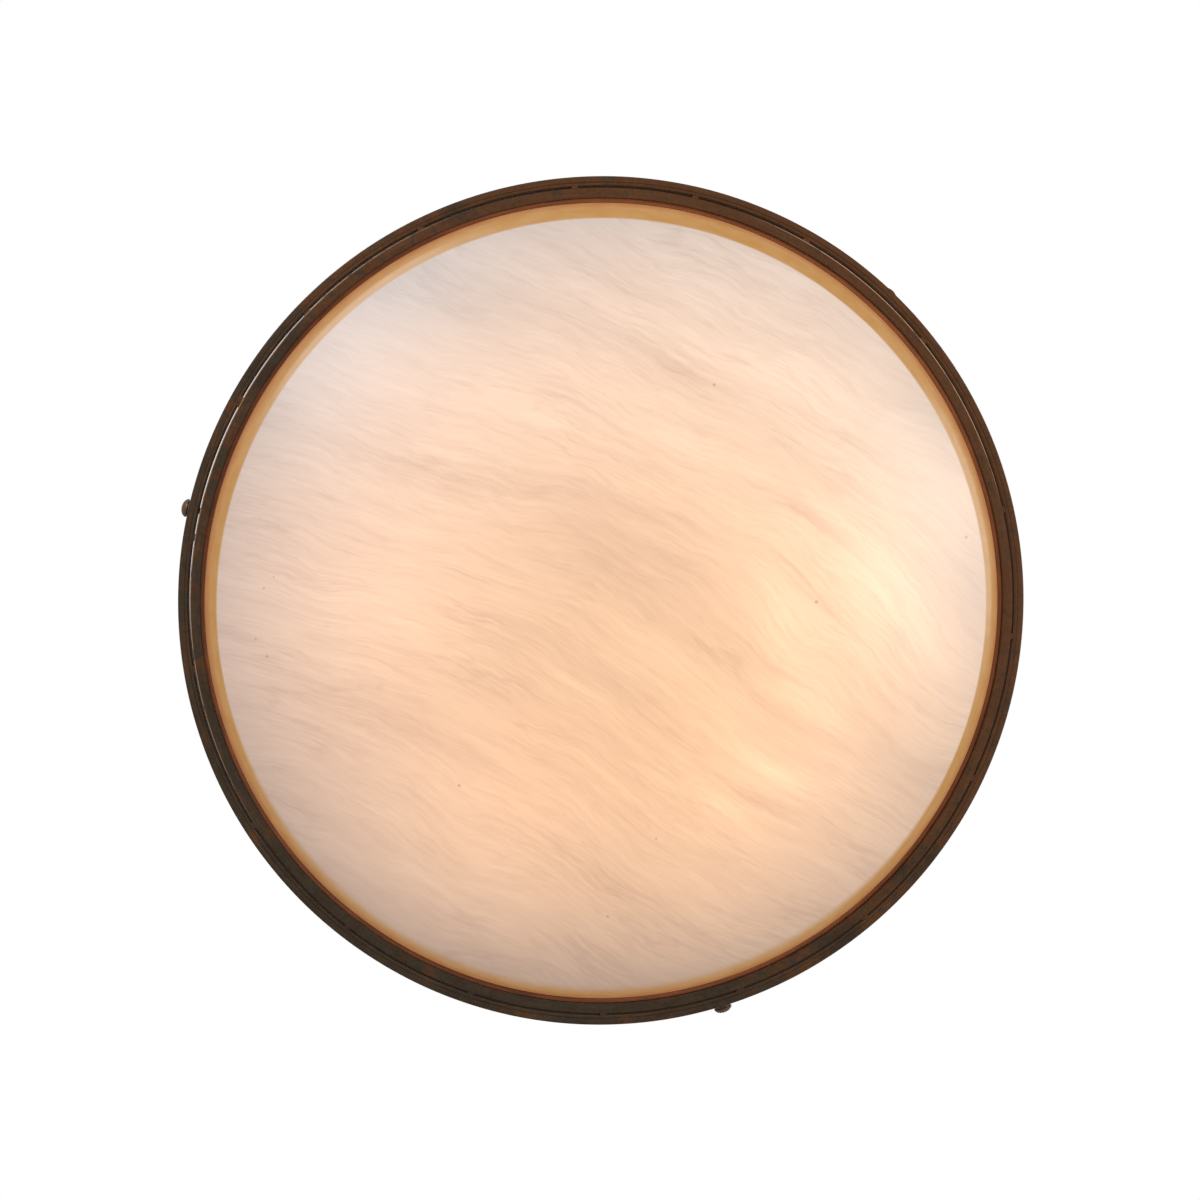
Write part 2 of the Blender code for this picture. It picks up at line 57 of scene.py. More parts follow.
# ---- Sizes, from the frame and from the sections that part.py gives its rings ----
HOOP_LOW, HOOP_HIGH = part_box("outer_hoop")
OUTER_RADIUS = HOOP_HIGH[0]
HOOP_FRONT, HOOP_BACK = HOOP_LOW[2], HOOP_HIGH[2]
SLOT_OUTER = OUTER_RADIUS - 6.5 * MM
SLOT_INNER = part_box("inner_hoop")[1][0]
HOOP_BORE = SLOT_INNER - 4 * MM
FLANGE_BORE = SLOT_INNER - 7.4 * MM
FLANGE_THICK = 4 * MM
LIP_LOW, LIP_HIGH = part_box("retaining_lip")
LIP_BORE = FLANGE_BORE - 2.6 * MM
DIFFUSER_LOW, DIFFUSER_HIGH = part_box("diffuser")
DIFFUSER_FLANGE = 6 * MM
DIFFUSER_WALL = 5 * MM
SHOULDER_OUTER = LIP_BORE - 0.4 * MM
SHOULDER_RADIUS = 14 * MM
DOME_EDGE_SLOPE = radians(22)
DOME_EDGE = SHOULDER_OUTER - SHOULDER_RADIUS * (1 - sin(DOME_EDGE_SLOPE))

PAN_LOW, PAN_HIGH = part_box("ceiling_pan")
PAN_RADIUS = PAN_HIGH[0]
PAN_BOTTOM = PAN_LOW[2]
PAN_SHEET = 1.2 * MM
PAN_CORNER = 8 * MM
RECESS_RADIUS = 78 * MM
RECESS_FLOOR = -22 * MM
NIPPLE_HOLE = 5.3 * MM

LAMP_BEARINGS = (0, 60, 120, 180, 240, 300)
LAMP_Z = (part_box("bulb_1")[0][2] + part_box("bulb_1")[1][2]) / 2
HOLDER_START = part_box("lampholder_1")[0][0]
HOLDER_LENGTH = 40 * MM
HOLDER_RADIUS = 19 * MM
HOLDER_BORE = 14 * MM
BULB_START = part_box("bulb_1")[0][0]
BULB_LENGTH = 105 * MM
BULB_RADIUS = 30 * MM
CAP_RADIUS = 13.2 * MM
CAP_PITCH = 3.6 * MM
BRACKET_SHEET = 1.6 * MM
BRACKET_WIDTH = 30 * MM
BRACKET_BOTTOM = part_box("socket_bracket_1")[0][2]
LOOM_RADIUS = 40 * MM
LEAD_RADIUS = 1.1 * MM
LEAD_OFFSET = 1.15 * MM

TAB_BEARINGS = (13, 39.4, 61, 77.6, 94.4, 116.5, 135.9, 151.2, 170.8,
                189, 212, 231.2, 250.7, 269.5, 289.1, 309.4, 334.3, 355.1)
WIDE_TAB = 151.2
TAB_DEPTH = 12 * MM

SCREW_BEARINGS = (46.8, 167.2, 286.5)
SCREW_STAND_OFF = (0, 0.3 * MM, 5.0 * MM)
SCREW_Z = -67 * MM
SCREW_TIP = 285 * MM
SCREW_SHANK = 2.5 * MM
SCREW_PITCH = 0.8 * MM
SCREW_HEAD_RADIUS = 6.6 * MM
SCREW_HEAD_HEIGHT = 4.5 * MM
WASHER_RADIUS = 6.2 * MM
WASHER_THICK = 0.8 * MM

# ---- The view ----
CAMERA_DISTANCE = 2.03
CAMERA_TILT = radians(5.8)
CAMERA_BEARING = radians(157)
PICTURE_WIDTH = 0.8612  # what the picture spans at the hoop's front face
PICTURE_CENTRE = (-4.9 * MM, -2.1 * MM)  # the hoop's near side looks larger, which moves its outline's middle
FLOOR_Z = -2.4
LIGHT_TARGET = (0, 0, -0.08)


# ---- The diffuser's pattern and the colours. x, y and lengths are in dome radii, as seen from below ----
FLOW_SLOPE = 0.40  # how far the veins fall for each step to the right
FLOW_BEND = 0.08  # steeper to the right, flatter to the left
FALL_CENTRE, FALL_SIZE, FALL_RISE = (0.10, -0.40), (0.38, 0.42), 0.14  # where the veins fall most steeply

# x, y, half length, half width, and how much lighter than the rest
FLAMES = (
    (0.72, 0.03, 0.24, 0.070, 0.10), (0.42, -0.03, 0.13, 0.050, 0.13), (0.51, -0.23, 0.15, 0.040, 0.13),
    (0.41, -0.42, 0.13, 0.045, 0.15), (0.27, -0.50, 0.10, 0.022, 0.10), (0.45, 0.60, 0.20, 0.060, 0.08),
    (0.17, 0.42, 0.15, 0.028, 0.08), (-0.18, 0.45, 0.13, 0.025, 0.07), (-0.45, -0.09, 0.17, 0.055, 0.07),
    (-0.10, -0.17, 0.12, 0.012, 0.07), (0.04, -0.46, 0.14, 0.012, 0.09), (0.18, -0.12, 0.16, 0.012, 0.05),
    (0.50, 0.035, 0.11, 0.014, -0.16), (0.44, -0.165, 0.17, 0.013, -0.14), (0.51, 0.19, 0.15, 0.018, -0.13),
    (0.18, 0.60, 0.17, 0.028, -0.11), (0.36, -0.50, 0.12, 0.014, -0.13), (0.02, -0.52, 0.16, 0.014, -0.09),
    (-0.52, 0.37, 0.22, 0.080, -0.05), (-0.45, -0.34, 0.26, 0.030, -0.07), (0.0, 0.25, 0.24, 0.020, -0.07),
    (0.02, 0.12, 0.30, 0.100, -0.08), (0.12, -0.27, 0.26, 0.030, -0.06),
)
# the same, for the light behind the pattern
DIM_PATCHES = (
    (-0.46, 0.80, 0.32, 0.14, -0.13), (0.97, 0.05, 0.20, 0.12, -0.16), (0.45, 0.86, 0.30, 0.10, 0.05),
    (0.88, 0.46, 0.16, 0.11, -0.12), (-0.84, 0.46, 0.16, 0.10, -0.04), (0.84, -0.46, 0.20, 0.10, -0.05),
)
# x and y in metres, and radius in mm
SPECKS = (
    (-0.244, 0.012, 1.3), (-0.250, -0.024, 1.2), (-0.242, -0.036, 1.6), (-0.108, -0.126, 1.7),
    (0.144, 0.002, 2.0), (0.072, 0.155, 1.7), (0.259, 0.047, 1.8), (-0.002, -0.222, 1.5),
    (-0.237, 0.020, 0.9), (0.031, -0.165, 1.2),
)

LAMP_GLOW = (0.13, 0.0, 0.05, 0.11, 0.15, 0.13)  # how strongly each lamp shows through the bowl
LAMP_SPREAD = 0.98  # how far out the hot spots lie, as a share of the lamps' own radius
GLOW_RADIUS = 0.055  # in metres
LAMP_POWER = 1.7
LIT_EDGE = 0.9955  # where the glow stops on the shoulder
LIT_CENTRE = (-1.3 * MM, 2.1 * MM)  # the lit disc sits a little off the ring's centre

# dark ground, rust, grey and copper
PATINA = (0.034, 0.017, 0.0070), (0.074, 0.027, 0.0075), (0.036, 0.0245, 0.0135), (0.095, 0.038, 0.0120)
# painted highlight on the inner hoop's slot edge
COPPER_HIGHLIGHT = (0.38, 0.22, 0.13)
SPECK_BROWN = (0.30, 0.13, 0.06)
# the painted dim glow on the diffuser's shoulder, where the backlight is shadowed: golden by the lit disc, salmon
# by the lip, and paler clouds
TAN_NEAR_LIGHT, TAN_NEAR_LIP, TAN_PALE = (0.50, 0.245, 0.064), (0.52, 0.215, 0.085), (0.60, 0.34, 0.15)


# ---- Node graphs ----
class Graph:
    """A material and short ways to add nodes to it."""

    def __init__(self, name, metallic=0.0):
        self.material = bpy.data.materials.new(name)
        self.material.use_nodes = True
        self.tree = self.material.node_tree
        self.shader = self.tree.nodes["Principled BSDF"]
        self.set(Metallic=metallic)

    def put(self, socket, value):
        if isinstance(value, bpy.types.NodeSocket):
            self.tree.links.new(value, socket)
        elif value is not None:
            socket.default_value = (*value, 1.0) if socket.type == "RGBA" and len(value) == 3 else value

    def fill(self, made, **values):
        """Sets a node's inputs by name, with _ for a space."""
        for name, value in values.items():
            self.put(made.inputs[name.replace("_", " ")], value)
        return made

    def set(self, **values):
        self.fill(self.shader, **values)

    def node(self, kind, *values, **settings):
        """A node with its settings made and its first inputs filled."""
        made = self.tree.nodes.new("ShaderNode" + kind)
        for name, value in settings.items():
            setattr(made, name, value)
        for socket, value in zip(made.inputs, values):
            self.put(socket, value)
        return made

    def coords(self):
        return self.node("TexCoord").outputs["Object"]

    def split(self, vector):
        return self.node("SeparateXYZ", vector).outputs

    def join(self, x, y, z):
        return self.node("CombineXYZ", x, y, z).outputs[0]

    def math(self, operation, a, b=None):
        return self.node("Math", a, b, operation=operation).outputs[0]

    def total(self, first, *terms):
        for term in terms:
            first = self.math("ADD", first, term)
        return first

    def minus(self, a, b):
        return self.math("SUBTRACT", a, b)

    def times(self, a, b):
        return self.math("MULTIPLY", a, b)

    def over(self, a, b):
        return self.math("DIVIDE", a, b)

    def weighted(self, base, *pairs):
        """The base plus each field times its weight."""
        return self.total(base, *[self.times(field, weight) for field, weight in pairs])

    def swing(self, noise, amount):
        """How far a noise lies from its middle value, times an amount."""
        return self.times(self.minus(noise, 0.5), amount)

    def squares(self, a, b):
        return self.total(self.times(a, a), self.times(b, b))

    def bell(self, away, height):
        """A soft lobe of some height, from a squared distance."""
        return self.times(self.math("EXPONENT", self.times(away, -1.0)), height)

    def vector(self, operation, a, b=None):
        made = self.node("VectorMath", a, b, operation=operation)
        return made.outputs["Value" if operation in ("LENGTH", "DOT_PRODUCT") else "Vector"]

    def scaled(self, colour, by):
        return self.vector("MULTIPLY", colour, (by, by, by))

    def noise(self, place, scale, detail=4.0, roughness=0.55, distortion=0.0):
        made = self.fill(self.node("TexNoise"), Vector=place, Scale=scale, Detail=detail, Roughness=roughness,
                         Distortion=distortion)
        return made.outputs["Fac"]

    def steps(self, value, low, high):
        """0 at low, 1 at high, eased between them."""
        made = self.node("MapRange", interpolation_type="SMOOTHSTEP", clamp=True)
        return self.fill(made, Value=value, From_Min=low, From_Max=high).outputs["Result"]

    def mix(self, amount, a, b, kind="MIX"):
        made = self.node("Mix", data_type="RGBA", blend_type=kind)
        for socket, value in zip((made.inputs[0], made.inputs[6], made.inputs[7]), (amount, a, b)):
            self.put(socket, value)
        return made.outputs[2]

    def bump(self, height, distance, strength):
        made = self.fill(self.node("Bump"), Height=height, Distance=distance, Strength=strength)
        self.set(Normal=made.outputs[0])

    def around(self, along, across):
        """Coordinates that run round the light's axis: long streaks along a ring, fine across it."""
        x, y, z = self.split(self.coords())
        flat = self.join(x, y, 0.0)
        ux, uy, _ = self.split(self.vector("NORMALIZE", flat))
        height = self.total(self.times(self.vector("LENGTH", flat), across), self.times(z, across))
        return self.join(self.times(ux, along), self.times(uy, along), height)

    def facing(self, bearing, narrow, wide):
        """1 on the side of the light that lies at a bearing: full within narrow degrees, 0 past wide."""
        x, y, _ = self.split(self.coords())
        angle, narrow, wide = map(radians, (bearing, narrow, wide))
        unit = self.vector("NORMALIZE", self.join(x, y, 0.0))
        dot = self.vector("DOT_PRODUCT", unit, (cos(angle), -sin(angle), 0))
        return self.steps(dot, cos(wide), cos(narrow))


def bronze(name, dark, rust, grey, copper, edge_highlight=False, glow=None, polish=0.0):
    """Chemically aged bronze: a dark ground with rust and grey-green clouds and fine streaks round the rings.
    Towards bearing 45 the patina is drawn rustier and lighter, and greyer away from it: painted light from that
    side.
    On the inner hoop's slot edge a painted copper highlight lies on two sides, where light catches the edge and
    where light comes through the slot. A glow stands for the light that gets into the narrow slot."""
    g = Graph(name, metallic=0.2)
    place = g.coords()
    clouds = g.noise(place, 19, 6, 0.68, 0.3)
    spots = g.noise(place, 110, 5, 0.7, 0.6)
    streaks = g.noise(g.around(9, 420), 1.0, 5, 0.7)
    grain = g.noise(place, 1100, 3, 0.75)
    mottle = g.noise(place, 330, 3, 0.7)
    # painted light: warm light from bearing 45 makes the patina rustier and lighter there, and greyer away from it
    warm_lit_side = g.facing(45, 15, 160)
    colour = g.mix(g.steps(g.weighted(clouds, (warm_lit_side, 0.20)), 0.47, 0.63), dark, rust)
    greyer = g.minus(g.total(spots, 0.05), g.times(warm_lit_side, 0.16))
    colour = g.mix(g.times(g.steps(greyer, 0.44, 0.60), 0.85), colour, grey)
    colour = g.mix(g.times(g.steps(streaks, 0.54, 0.72), 0.45), colour, copper)
    tone = g.weighted(-0.15, (grain, 0.70), (mottle, 0.85), (streaks, 0.80))
    colour = g.mix(1.0, colour, g.join(tone, tone, tone), "MULTIPLY")
    if edge_highlight:
        # painted highlight: copper on the slot edge near bearing 42, where light catches it, and near 162, where
        # light comes through the slot
        highlight_breakup = g.steps(g.noise(g.around(22, 40), 1.0, 3, 0.6), 0.25, 0.55)
        where = g.math("MAXIMUM", g.facing(42, 12, 30), g.times(g.facing(162, 30, 55), 0.75))
        colour = g.mix(g.times(highlight_breakup, where), colour, COPPER_HIGHLIGHT)
    if glow:
        g.set(Emission_Color=glow, Emission_Strength=1.0)
    g.set(Base_Color=colour, Specular_IOR_Level=0.2 + polish)
    g.set(Roughness=g.weighted(0.42 - polish, (spots, 0.35)))
    g.bump(g.weighted(0.0, (clouds, 0.3), (spots, 0.4), (grain, 0.3)), 0.3 * MM, 0.6)
    return g.material


def reddish_metal(name):
    """The lip's reddish brown, drawn brighter on one side by painted light, like the hoops."""
    g = Graph(name, metallic=0.15)
    tint = g.noise(g.around(12, 300), 1.0, 4, 0.6)
    # painted light: brighter towards bearing 15, on top of the random tint
    bright = g.total(g.steps(tint, 0.35, 0.68), g.facing(15, 15, 155))
    g.set(Base_Color=g.mix(g.times(bright, 0.5), (0.165, 0.056, 0.022), (0.380, 0.120, 0.038)))
    g.set(Roughness=g.weighted(0.42, (tint, 0.25)), Specular_IOR_Level=0.3)
    g.bump(tint, 0.15 * MM, 0.5)
    return g.material


def enamel(name):
    """Stoved white paint with slight orange peel."""
    g = Graph(name)
    peel = g.noise(g.coords(), 420, 2, 0.5)
    shade = g.noise(g.coords(), 9, 3, 0.5)
    g.set(Base_Color=g.mix(shade, (0.752, 0.7426, 0.7144), (0.80, 0.79, 0.76)))
    g.set(Roughness=g.weighted(0.26, (peel, 0.14)))
    g.bump(peel, 0.06 * MM, 0.4)
    return g.material


def plated(name, low, high, scale=260, roughness=0.24):
    """Plated or bare metal with a fine spangle and slight staining."""
    g = Graph(name, metallic=1.0)
    spangle = g.noise(g.coords(), scale, 4, 0.7, 0.3)
    stain = g.noise(g.coords(), 24, 4, 0.6)
    both = g.steps(g.weighted(0.0, (spangle, 0.6), (stain, 0.4)), 0.35, 0.65)
    g.set(Base_Color=g.mix(both, low, high), Roughness=g.weighted(roughness, (stain, 0.22)))
    g.bump(spangle, 0.04 * MM, 0.5)
    return g.material


def porcelain(name):
    g = Graph(name)
    fleck = g.noise(g.coords(), 600, 2, 0.5)
    g.set(Base_Color=g.mix(g.steps(fleck, 0.62, 0.72), (0.84, 0.82, 0.77), (0.55, 0.48, 0.38)))
    g.set(Coat_Weight=0.6, Coat_Roughness=0.05, Roughness=g.weighted(0.14, (fleck, 0.1)))
    g.bump(g.noise(g.coords(), 120, 2, 0.5), 0.08 * MM, 0.3)
    return g.material


def frosted_glass(name):
    """An inside-frosted lamp, lit, with a slightly uneven glow."""
    g = Graph(name)
    fine = g.noise(g.coords(), 1500, 2, 0.5)
    g.set(Base_Color=(0.93, 0.90, 0.84), Roughness=g.weighted(0.3, (fine, 0.15)))
    glow = g.mix(g.noise(g.coords(), 16, 2, 0.5), (1.0, 0.66, 0.36), (1.0, 0.80, 0.55))
    g.set(Emission_Color=glow, Emission_Strength=LAMP_POWER)
    return g.material


def plain(name, low, high, roughness, scale=300, relief=0.05 * MM):
    """A dull non-metal, such as felt, rubber or wire insulation, with fine grain."""
    g = Graph(name)
    grain = g.noise(g.coords(), scale, 4, 0.7)
    g.set(Base_Color=g.mix(g.steps(grain, 0.3, 0.7), low, high))
    g.set(Roughness=g.weighted(roughness - 0.08, (grain, 0.16)))
    g.bump(grain, relief, 0.6)
    return g.material


def across_flow(x, y):
    ramp = math.tanh((x - FALL_CENTRE[0]) / FALL_SIZE[0])
    near = math.exp(-((y - FALL_CENTRE[1]) / FALL_SIZE[1]) ** 2)
    return y + FLOW_SLOPE * x + FLOW_BEND * x * x + FALL_RISE * ramp * near


def along_flow(x, y):
    return x - FLOW_SLOPE * y


def flow_fields(g):
    """Coordinates of the diffuser's veins: x and y as seen from below in dome radii, and how far along and
    across the flow each place lies, as along_flow and across_flow give them."""
    x, y, _ = g.split(g.coords())
    x, y = g.over(x, DOME_EDGE), g.over(y, -DOME_EDGE)
    ramp = g.math("TANH", g.over(g.minus(x, FALL_CENTRE[0]), FALL_SIZE[0]))
    reach = g.over(g.minus(y, FALL_CENTRE[1]), FALL_SIZE[1])
    rise = g.bell(g.times(reach, reach), FALL_RISE)
    across = g.weighted(y, (x, FLOW_SLOPE), (g.times(x, x), FLOW_BEND), (ramp, rise))
    return x, y, g.minus(x, g.times(y, FLOW_SLOPE)), across


def stretched(g, along, across, rate, ratio, layer, detail, roughness, distortion=0.0):
    """Noise drawn out along the flow: rate per dome radius along it, ratio times finer across it."""
    place = g.join(g.times(along, rate), g.times(across, rate * ratio), layer)
    return g.noise(place, 1.0, detail, roughness, distortion)


def hairline(g, field, sharp):
    """1 on the thin line where a field crosses its middle value, 0 off it."""
    away = g.math("ABSOLUTE", g.minus(field, 0.5))
    return g.math("MAXIMUM", g.minus(1.0, g.times(away, sharp)), 0.0)


def veins(g, x, y, along, across):
    """Broad clouds, feathery bands, fine fibres and a grain, each about 0.5, dark hair-thin lines from 0 to 1
    and the creamy and brown flames."""
    wander = g.noise(g.join(x, y, 0.0), 1.6, 2, 0.5)
    wobble = g.noise(g.join(x, y, 4.0), 6.0, 3, 0.6)
    across = g.total(across, g.swing(wander, 0.20), g.swing(wobble, 0.040))
    slanted = g.weighted(across, (along, 0.10))
    clouds = stretched(g, along, across, 0.95, 3.6, 0.0, 5, 0.62, 0.15)
    bands = stretched(g, along, across, 1.7, 8.0, 5.0, 8, 0.70, 0.1)
    fibres = stretched(g, along, slanted, 3.2, 16.0, 9.0, 7, 0.74, 0.1)
    grain = stretched(g, along, across, 8.0, 15.0, 11.0, 4, 0.7, 0.1)
    where = g.steps(stretched(g, along, across, 1.9, 1.6, 2.0, 3, 0.6), 0.44, 0.62)
    lines = g.times(hairline(g, stretched(g, along, across, 1.3, 7.0, 12.0, 4, 0.6, 0.3), 34.0), where)
    other = g.steps(stretched(g, along, across, 2.4, 1.5, 7.0, 3, 0.6), 0.38, 0.55)
    fine = g.times(hairline(g, stretched(g, along, slanted, 2.6, 9.0, 15.0, 5, 0.65, 0.3), 18.0), other)
    flames = lobes(g, FLAMES, along, g.total(across, g.swing(bands, 0.10)))
    return clouds, bands, fibres, grain, g.weighted(lines, (fine, 0.7)), flames


def lobes(g, table, along, across):
    """Separate tongues and streaks that lie along the flow, from a table like FLAMES."""
    found = []
    for x, y, length, width, strength in table:
        one = g.over(g.minus(along, along_flow(x, y)), length)
        two = g.over(g.minus(across, across_flow(x, y)), width)
        found.append(g.bell(g.squares(one, two), strength))
    return g.total(*found)


def speck_mask(g):
    x, y, _ = g.split(g.coords())
    found = 0.0
    for sx, sy, radius in SPECKS:
        away = g.math("SQRT", g.squares(g.minus(x, sx), g.total(y, sy)))
        found = g.math("MAXIMUM", found, g.steps(away, radius * MM, 0.25 * radius * MM))
    return found


def lamp_glow(g):
    """The soft hot spots: one eased lobe in front of each lamp."""
    place = g.split(g.coords())
    found = []
    for number, strength in enumerate(LAMP_GLOW, 1):
        low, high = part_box(f"bulb_{number}")
        dx, dy = (g.minus(place[k], (low[k] + high[k]) / 2 * LAMP_SPREAD) for k in (0, 1))
        found.append(g.bell(g.times(g.squares(dx, dy), 0.5 / GLOW_RADIUS ** 2), strength))
    return g.total(*found)


def diffuser_look(name):
    """Cast veined stone-like sheet whose glow is painted light from the lamps behind it: lit inside its shoulder,
    and a dimmer tan glow on it where that light is shadowed.
    """
    g = Graph(name)
    x, y, along, across = flow_fields(g)
    clouds, bands, fibres, grain, hairs, flames = veins(g, x, y, along, across)
    r2 = g.squares(x, y)

    # painted light and shade: brighter to the right and the top, darker towards the rim, most at the bottom; the
    # lamps' hot spots and the dim patches are added below
    body = g.weighted(0.822, (x, 0.09), (y, 0.07), (g.times(x, x), 0.20), (g.times(y, y), 0.05),
                      (g.times(r2, r2), -0.42))
    body = g.total(body, lamp_glow(g), lobes(g, DIM_PATCHES, along, across))
    pattern = g.total(1.0, g.swing(clouds, 0.28), g.swing(bands, 0.24), g.swing(fibres, 0.26),
                      g.swing(grain, 0.18), g.times(hairs, -0.085), flames)
    # green and blue, over red: paler and bluer towards the rim and the top, a painted cool reflection of light from
    # above; redder and browner where the pattern is dark
    green = g.times(g.weighted(0.564, (r2, 0.112), (y, 0.07)), g.math("POWER", pattern, 0.30))
    blue = g.times(g.weighted(0.283, (r2, 0.20), (y, 0.11), (x, -0.02)), g.math("POWER", pattern, 0.55))
    light = g.times(body, pattern)
    lit = g.join(light, g.times(light, green), g.times(light, blue))
    lit = g.mix(g.times(speck_mask(g), 0.55), lit, SPECK_BROWN)

    # on the shoulder the backlight is shadowed: a dimmer tan glow and tan colour are painted there, with the
    # painted shadow edge softer towards the bottom
    px, py, _ = g.split(g.coords())
    from_lit = g.math("SQRT", g.squares(g.minus(px, LIT_CENTRE[0]), g.minus(py, LIT_CENTRE[1])))
    soft = g.weighted(0.003, (g.facing(265, 25, 75), 0.012))
    edge = g.steps(g.over(from_lit, DOME_EDGE), g.minus(LIT_EDGE, soft), g.total(LIT_EDGE, soft))
    tan = g.mix(g.steps(g.math("SQRT", r2), 1.008, 1.032), TAN_NEAR_LIGHT, TAN_NEAR_LIP)
    cloudy = g.steps(g.noise(g.around(16, 120), 1.0, 3, 0.6), 0.35, 0.7)
    tan = g.mix(g.times(cloudy, 0.35), tan, TAN_PALE)
    g.set(Emission_Color=g.mix(edge, lit, g.scaled(tan, 0.52)), Emission_Strength=1.0)
    g.set(Base_Color=g.mix(edge, (0.10, 0.11, 0.12), g.scaled(tan, 0.42)))
    g.set(Coat_Weight=0.15, Coat_Roughness=0.22, Specular_IOR_Level=0.4)
    g.set(Roughness=g.weighted(0.28, (bands, 0.12)))
    g.bump(g.noise(g.coords(), 30, 3, 0.5), 0.15 * MM, 0.4)
    return g.material

LOOKS = {
    "bronze": bronze("patina_bronze", *PATINA),
    "edge_highlight": bronze("bronze_edge_highlight", *PATINA, edge_highlight=True),
    # the slot walls: a lighter bronze than the hoops and a faint glow, both painted light that comes in through the
    # slot
    "slot": bronze("slot_wall", (0.17, 0.095, 0.050), (0.21, 0.105, 0.045), (0.15, 0.10, 0.065),
                   (0.26, 0.14, 0.07), glow=(0.012, 0.0085, 0.0060)),
    "knob": bronze("knob_bronze", (0.105, 0.042, 0.018), (0.20, 0.072, 0.025), (0.090, 0.055, 0.036),
                   (0.30, 0.13, 0.06), polish=0.2),
    "lip": reddish_metal("reddish_lip"),
    "enamel": enamel("white_enamel"),
    "zinc": plated("zinc_plate", (0.48, 0.49, 0.50), (0.70, 0.71, 0.71)),
    "brass": plated("lamp_brass", (0.52, 0.33, 0.12), (0.78, 0.56, 0.26), 340, 0.20),
    "nickel": plated("nickel_cap", (0.56, 0.54, 0.50), (0.76, 0.74, 0.70), 380, 0.16),
    "porcelain": porcelain("glazed_porcelain"),
    "frosted": frosted_glass("frosted_lamp"),
    "felt": plain("felt_grey", (0.45, 0.42, 0.36), (0.72, 0.68, 0.60), 0.95, 900, 0.3 * MM),
    "rubber": plain("black_rubber", (0.012, 0.012, 0.013), (0.035, 0.034, 0.033), 0.75, 500),
    "wire_white": plain("wire_white", (0.62, 0.60, 0.55), (0.80, 0.78, 0.73), 0.45, 300),
    "wire_black": plain("wire_black", (0.010, 0.010, 0.011), (0.028, 0.027, 0.026), 0.42, 300),
    "glass_black": plain("lamp_insulator", (0.012, 0.010, 0.016), (0.030, 0.026, 0.036), 0.2, 200),
    "diffuser": diffuser_look("veined_diffuser"),
}


# ---- Meshes ----
def rounded(corners, closed=True, steps=5):
    """Rounds the corners of a section. Each corner is (radius, height, rounding) or (..., tag), and its arc
    keeps the tag, a material number. Returns the points and the tag of the stretch after each."""
    points, tags = [], []
    count = len(corners)
    for i, (r, z, size, *tag) in enumerate(corners):
        here = Vector((r, z))
        tag = tag[0] if tag else 0
        if not size or (not closed and i in (0, count - 1)):
            points.append(here)
            tags.append(0)
            continue
        before = (Vector(corners[i - 1][:2]) - here).normalized()
        after = (Vector(corners[(i + 1) % count][:2]) - here).normalized()
        reach = size / max(math.tan(before.angle(after) / 2), 0.05)
        start, end = here + before * reach, here + after * reach
        for k in range(steps + 1):
            t = k / steps
            points.append(start * (1 - t) ** 2 + here * (2 * t * (1 - t)) + end * t * t)
            tags.append(tag if k < steps else 0)
    return [tuple(p) for p in points], tags


def arc(centre, radius, start, end, steps):
    angles = [start + (end - start) * i / steps for i in range(steps + 1)]
    return [(centre[0] + radius * cos(a), centre[1] + radius * sin(a)) for a in angles]


def linked(name, data):
    """A new object in the scene."""
    made = bpy.data.objects.new(name, data)
    bpy.context.scene.collection.objects.link(made)
    return made


def finish_mesh(name, work, looks, sharp=35):
    bmesh.ops.remove_doubles(work, verts=work.verts, dist=1e-7)
    bmesh.ops.recalc_face_normals(work, faces=work.faces)
    mesh = bpy.data.meshes.new(name)
    work.to_mesh(mesh)
    work.free()
    mesh.shade_smooth()
    mesh.set_sharp_from_angle(angle=radians(sharp))
    for look in looks:
        mesh.materials.append(LOOKS[look])
    return linked(name, mesh)


def lathe(name, points, looks, steps, place=None, shape=None, tags=None, sharp=35):
    """Turns a section of (radius, height) points about local Z: a closed loop of them, or a line that starts
    and ends on the axis. shape(r, z, angle) may change r and z there."""
    work = bmesh.new()
    rows = []
    for r, z in points:
        row = []
        for j in range(1 if r < 1e-7 else steps):
            a = TAU * j / steps
            rr, zz = shape(r, z, a) if shape and r >= 1e-7 else (r, z)
            row.append(work.verts.new((rr * cos(a), rr * sin(a), zz)))
        rows.append(row)
    for i in range(len(rows) if points[0][0] else len(rows) - 1):
        one, two = rows[i], rows[(i + 1) % len(rows)]
        for j in range(steps):
            k = (j + 1) % steps
            corners = [one[j % len(one)], one[k % len(one)], two[k % len(two)], two[j % len(two)]]
            corners = list(dict.fromkeys(corners))
            if len(corners) > 2:
                face = work.faces.new(corners)
                face.material_index = tags[i] if tags else 0
    if place is not None:
        bmesh.ops.transform(work, matrix=place, verts=work.verts)
    return finish_mesh(name, work, looks, sharp)


def ring(name, corners, look, steps, place=None, arcs=5):
    """Turns a rounded section of one material."""
    points, _ = rounded(corners, corners[0][0] > 0, arcs)
    return lathe(name, points, [look], steps, place)


def flat_ring(name, inner, outer, low, high, round_by, look, steps, place=None, arcs=4):
    corners = [(outer, high), (outer, low), (inner, low), (inner, high)]
    return ring(name, [(*c, round_by) for c in corners], look, steps, place, arcs)


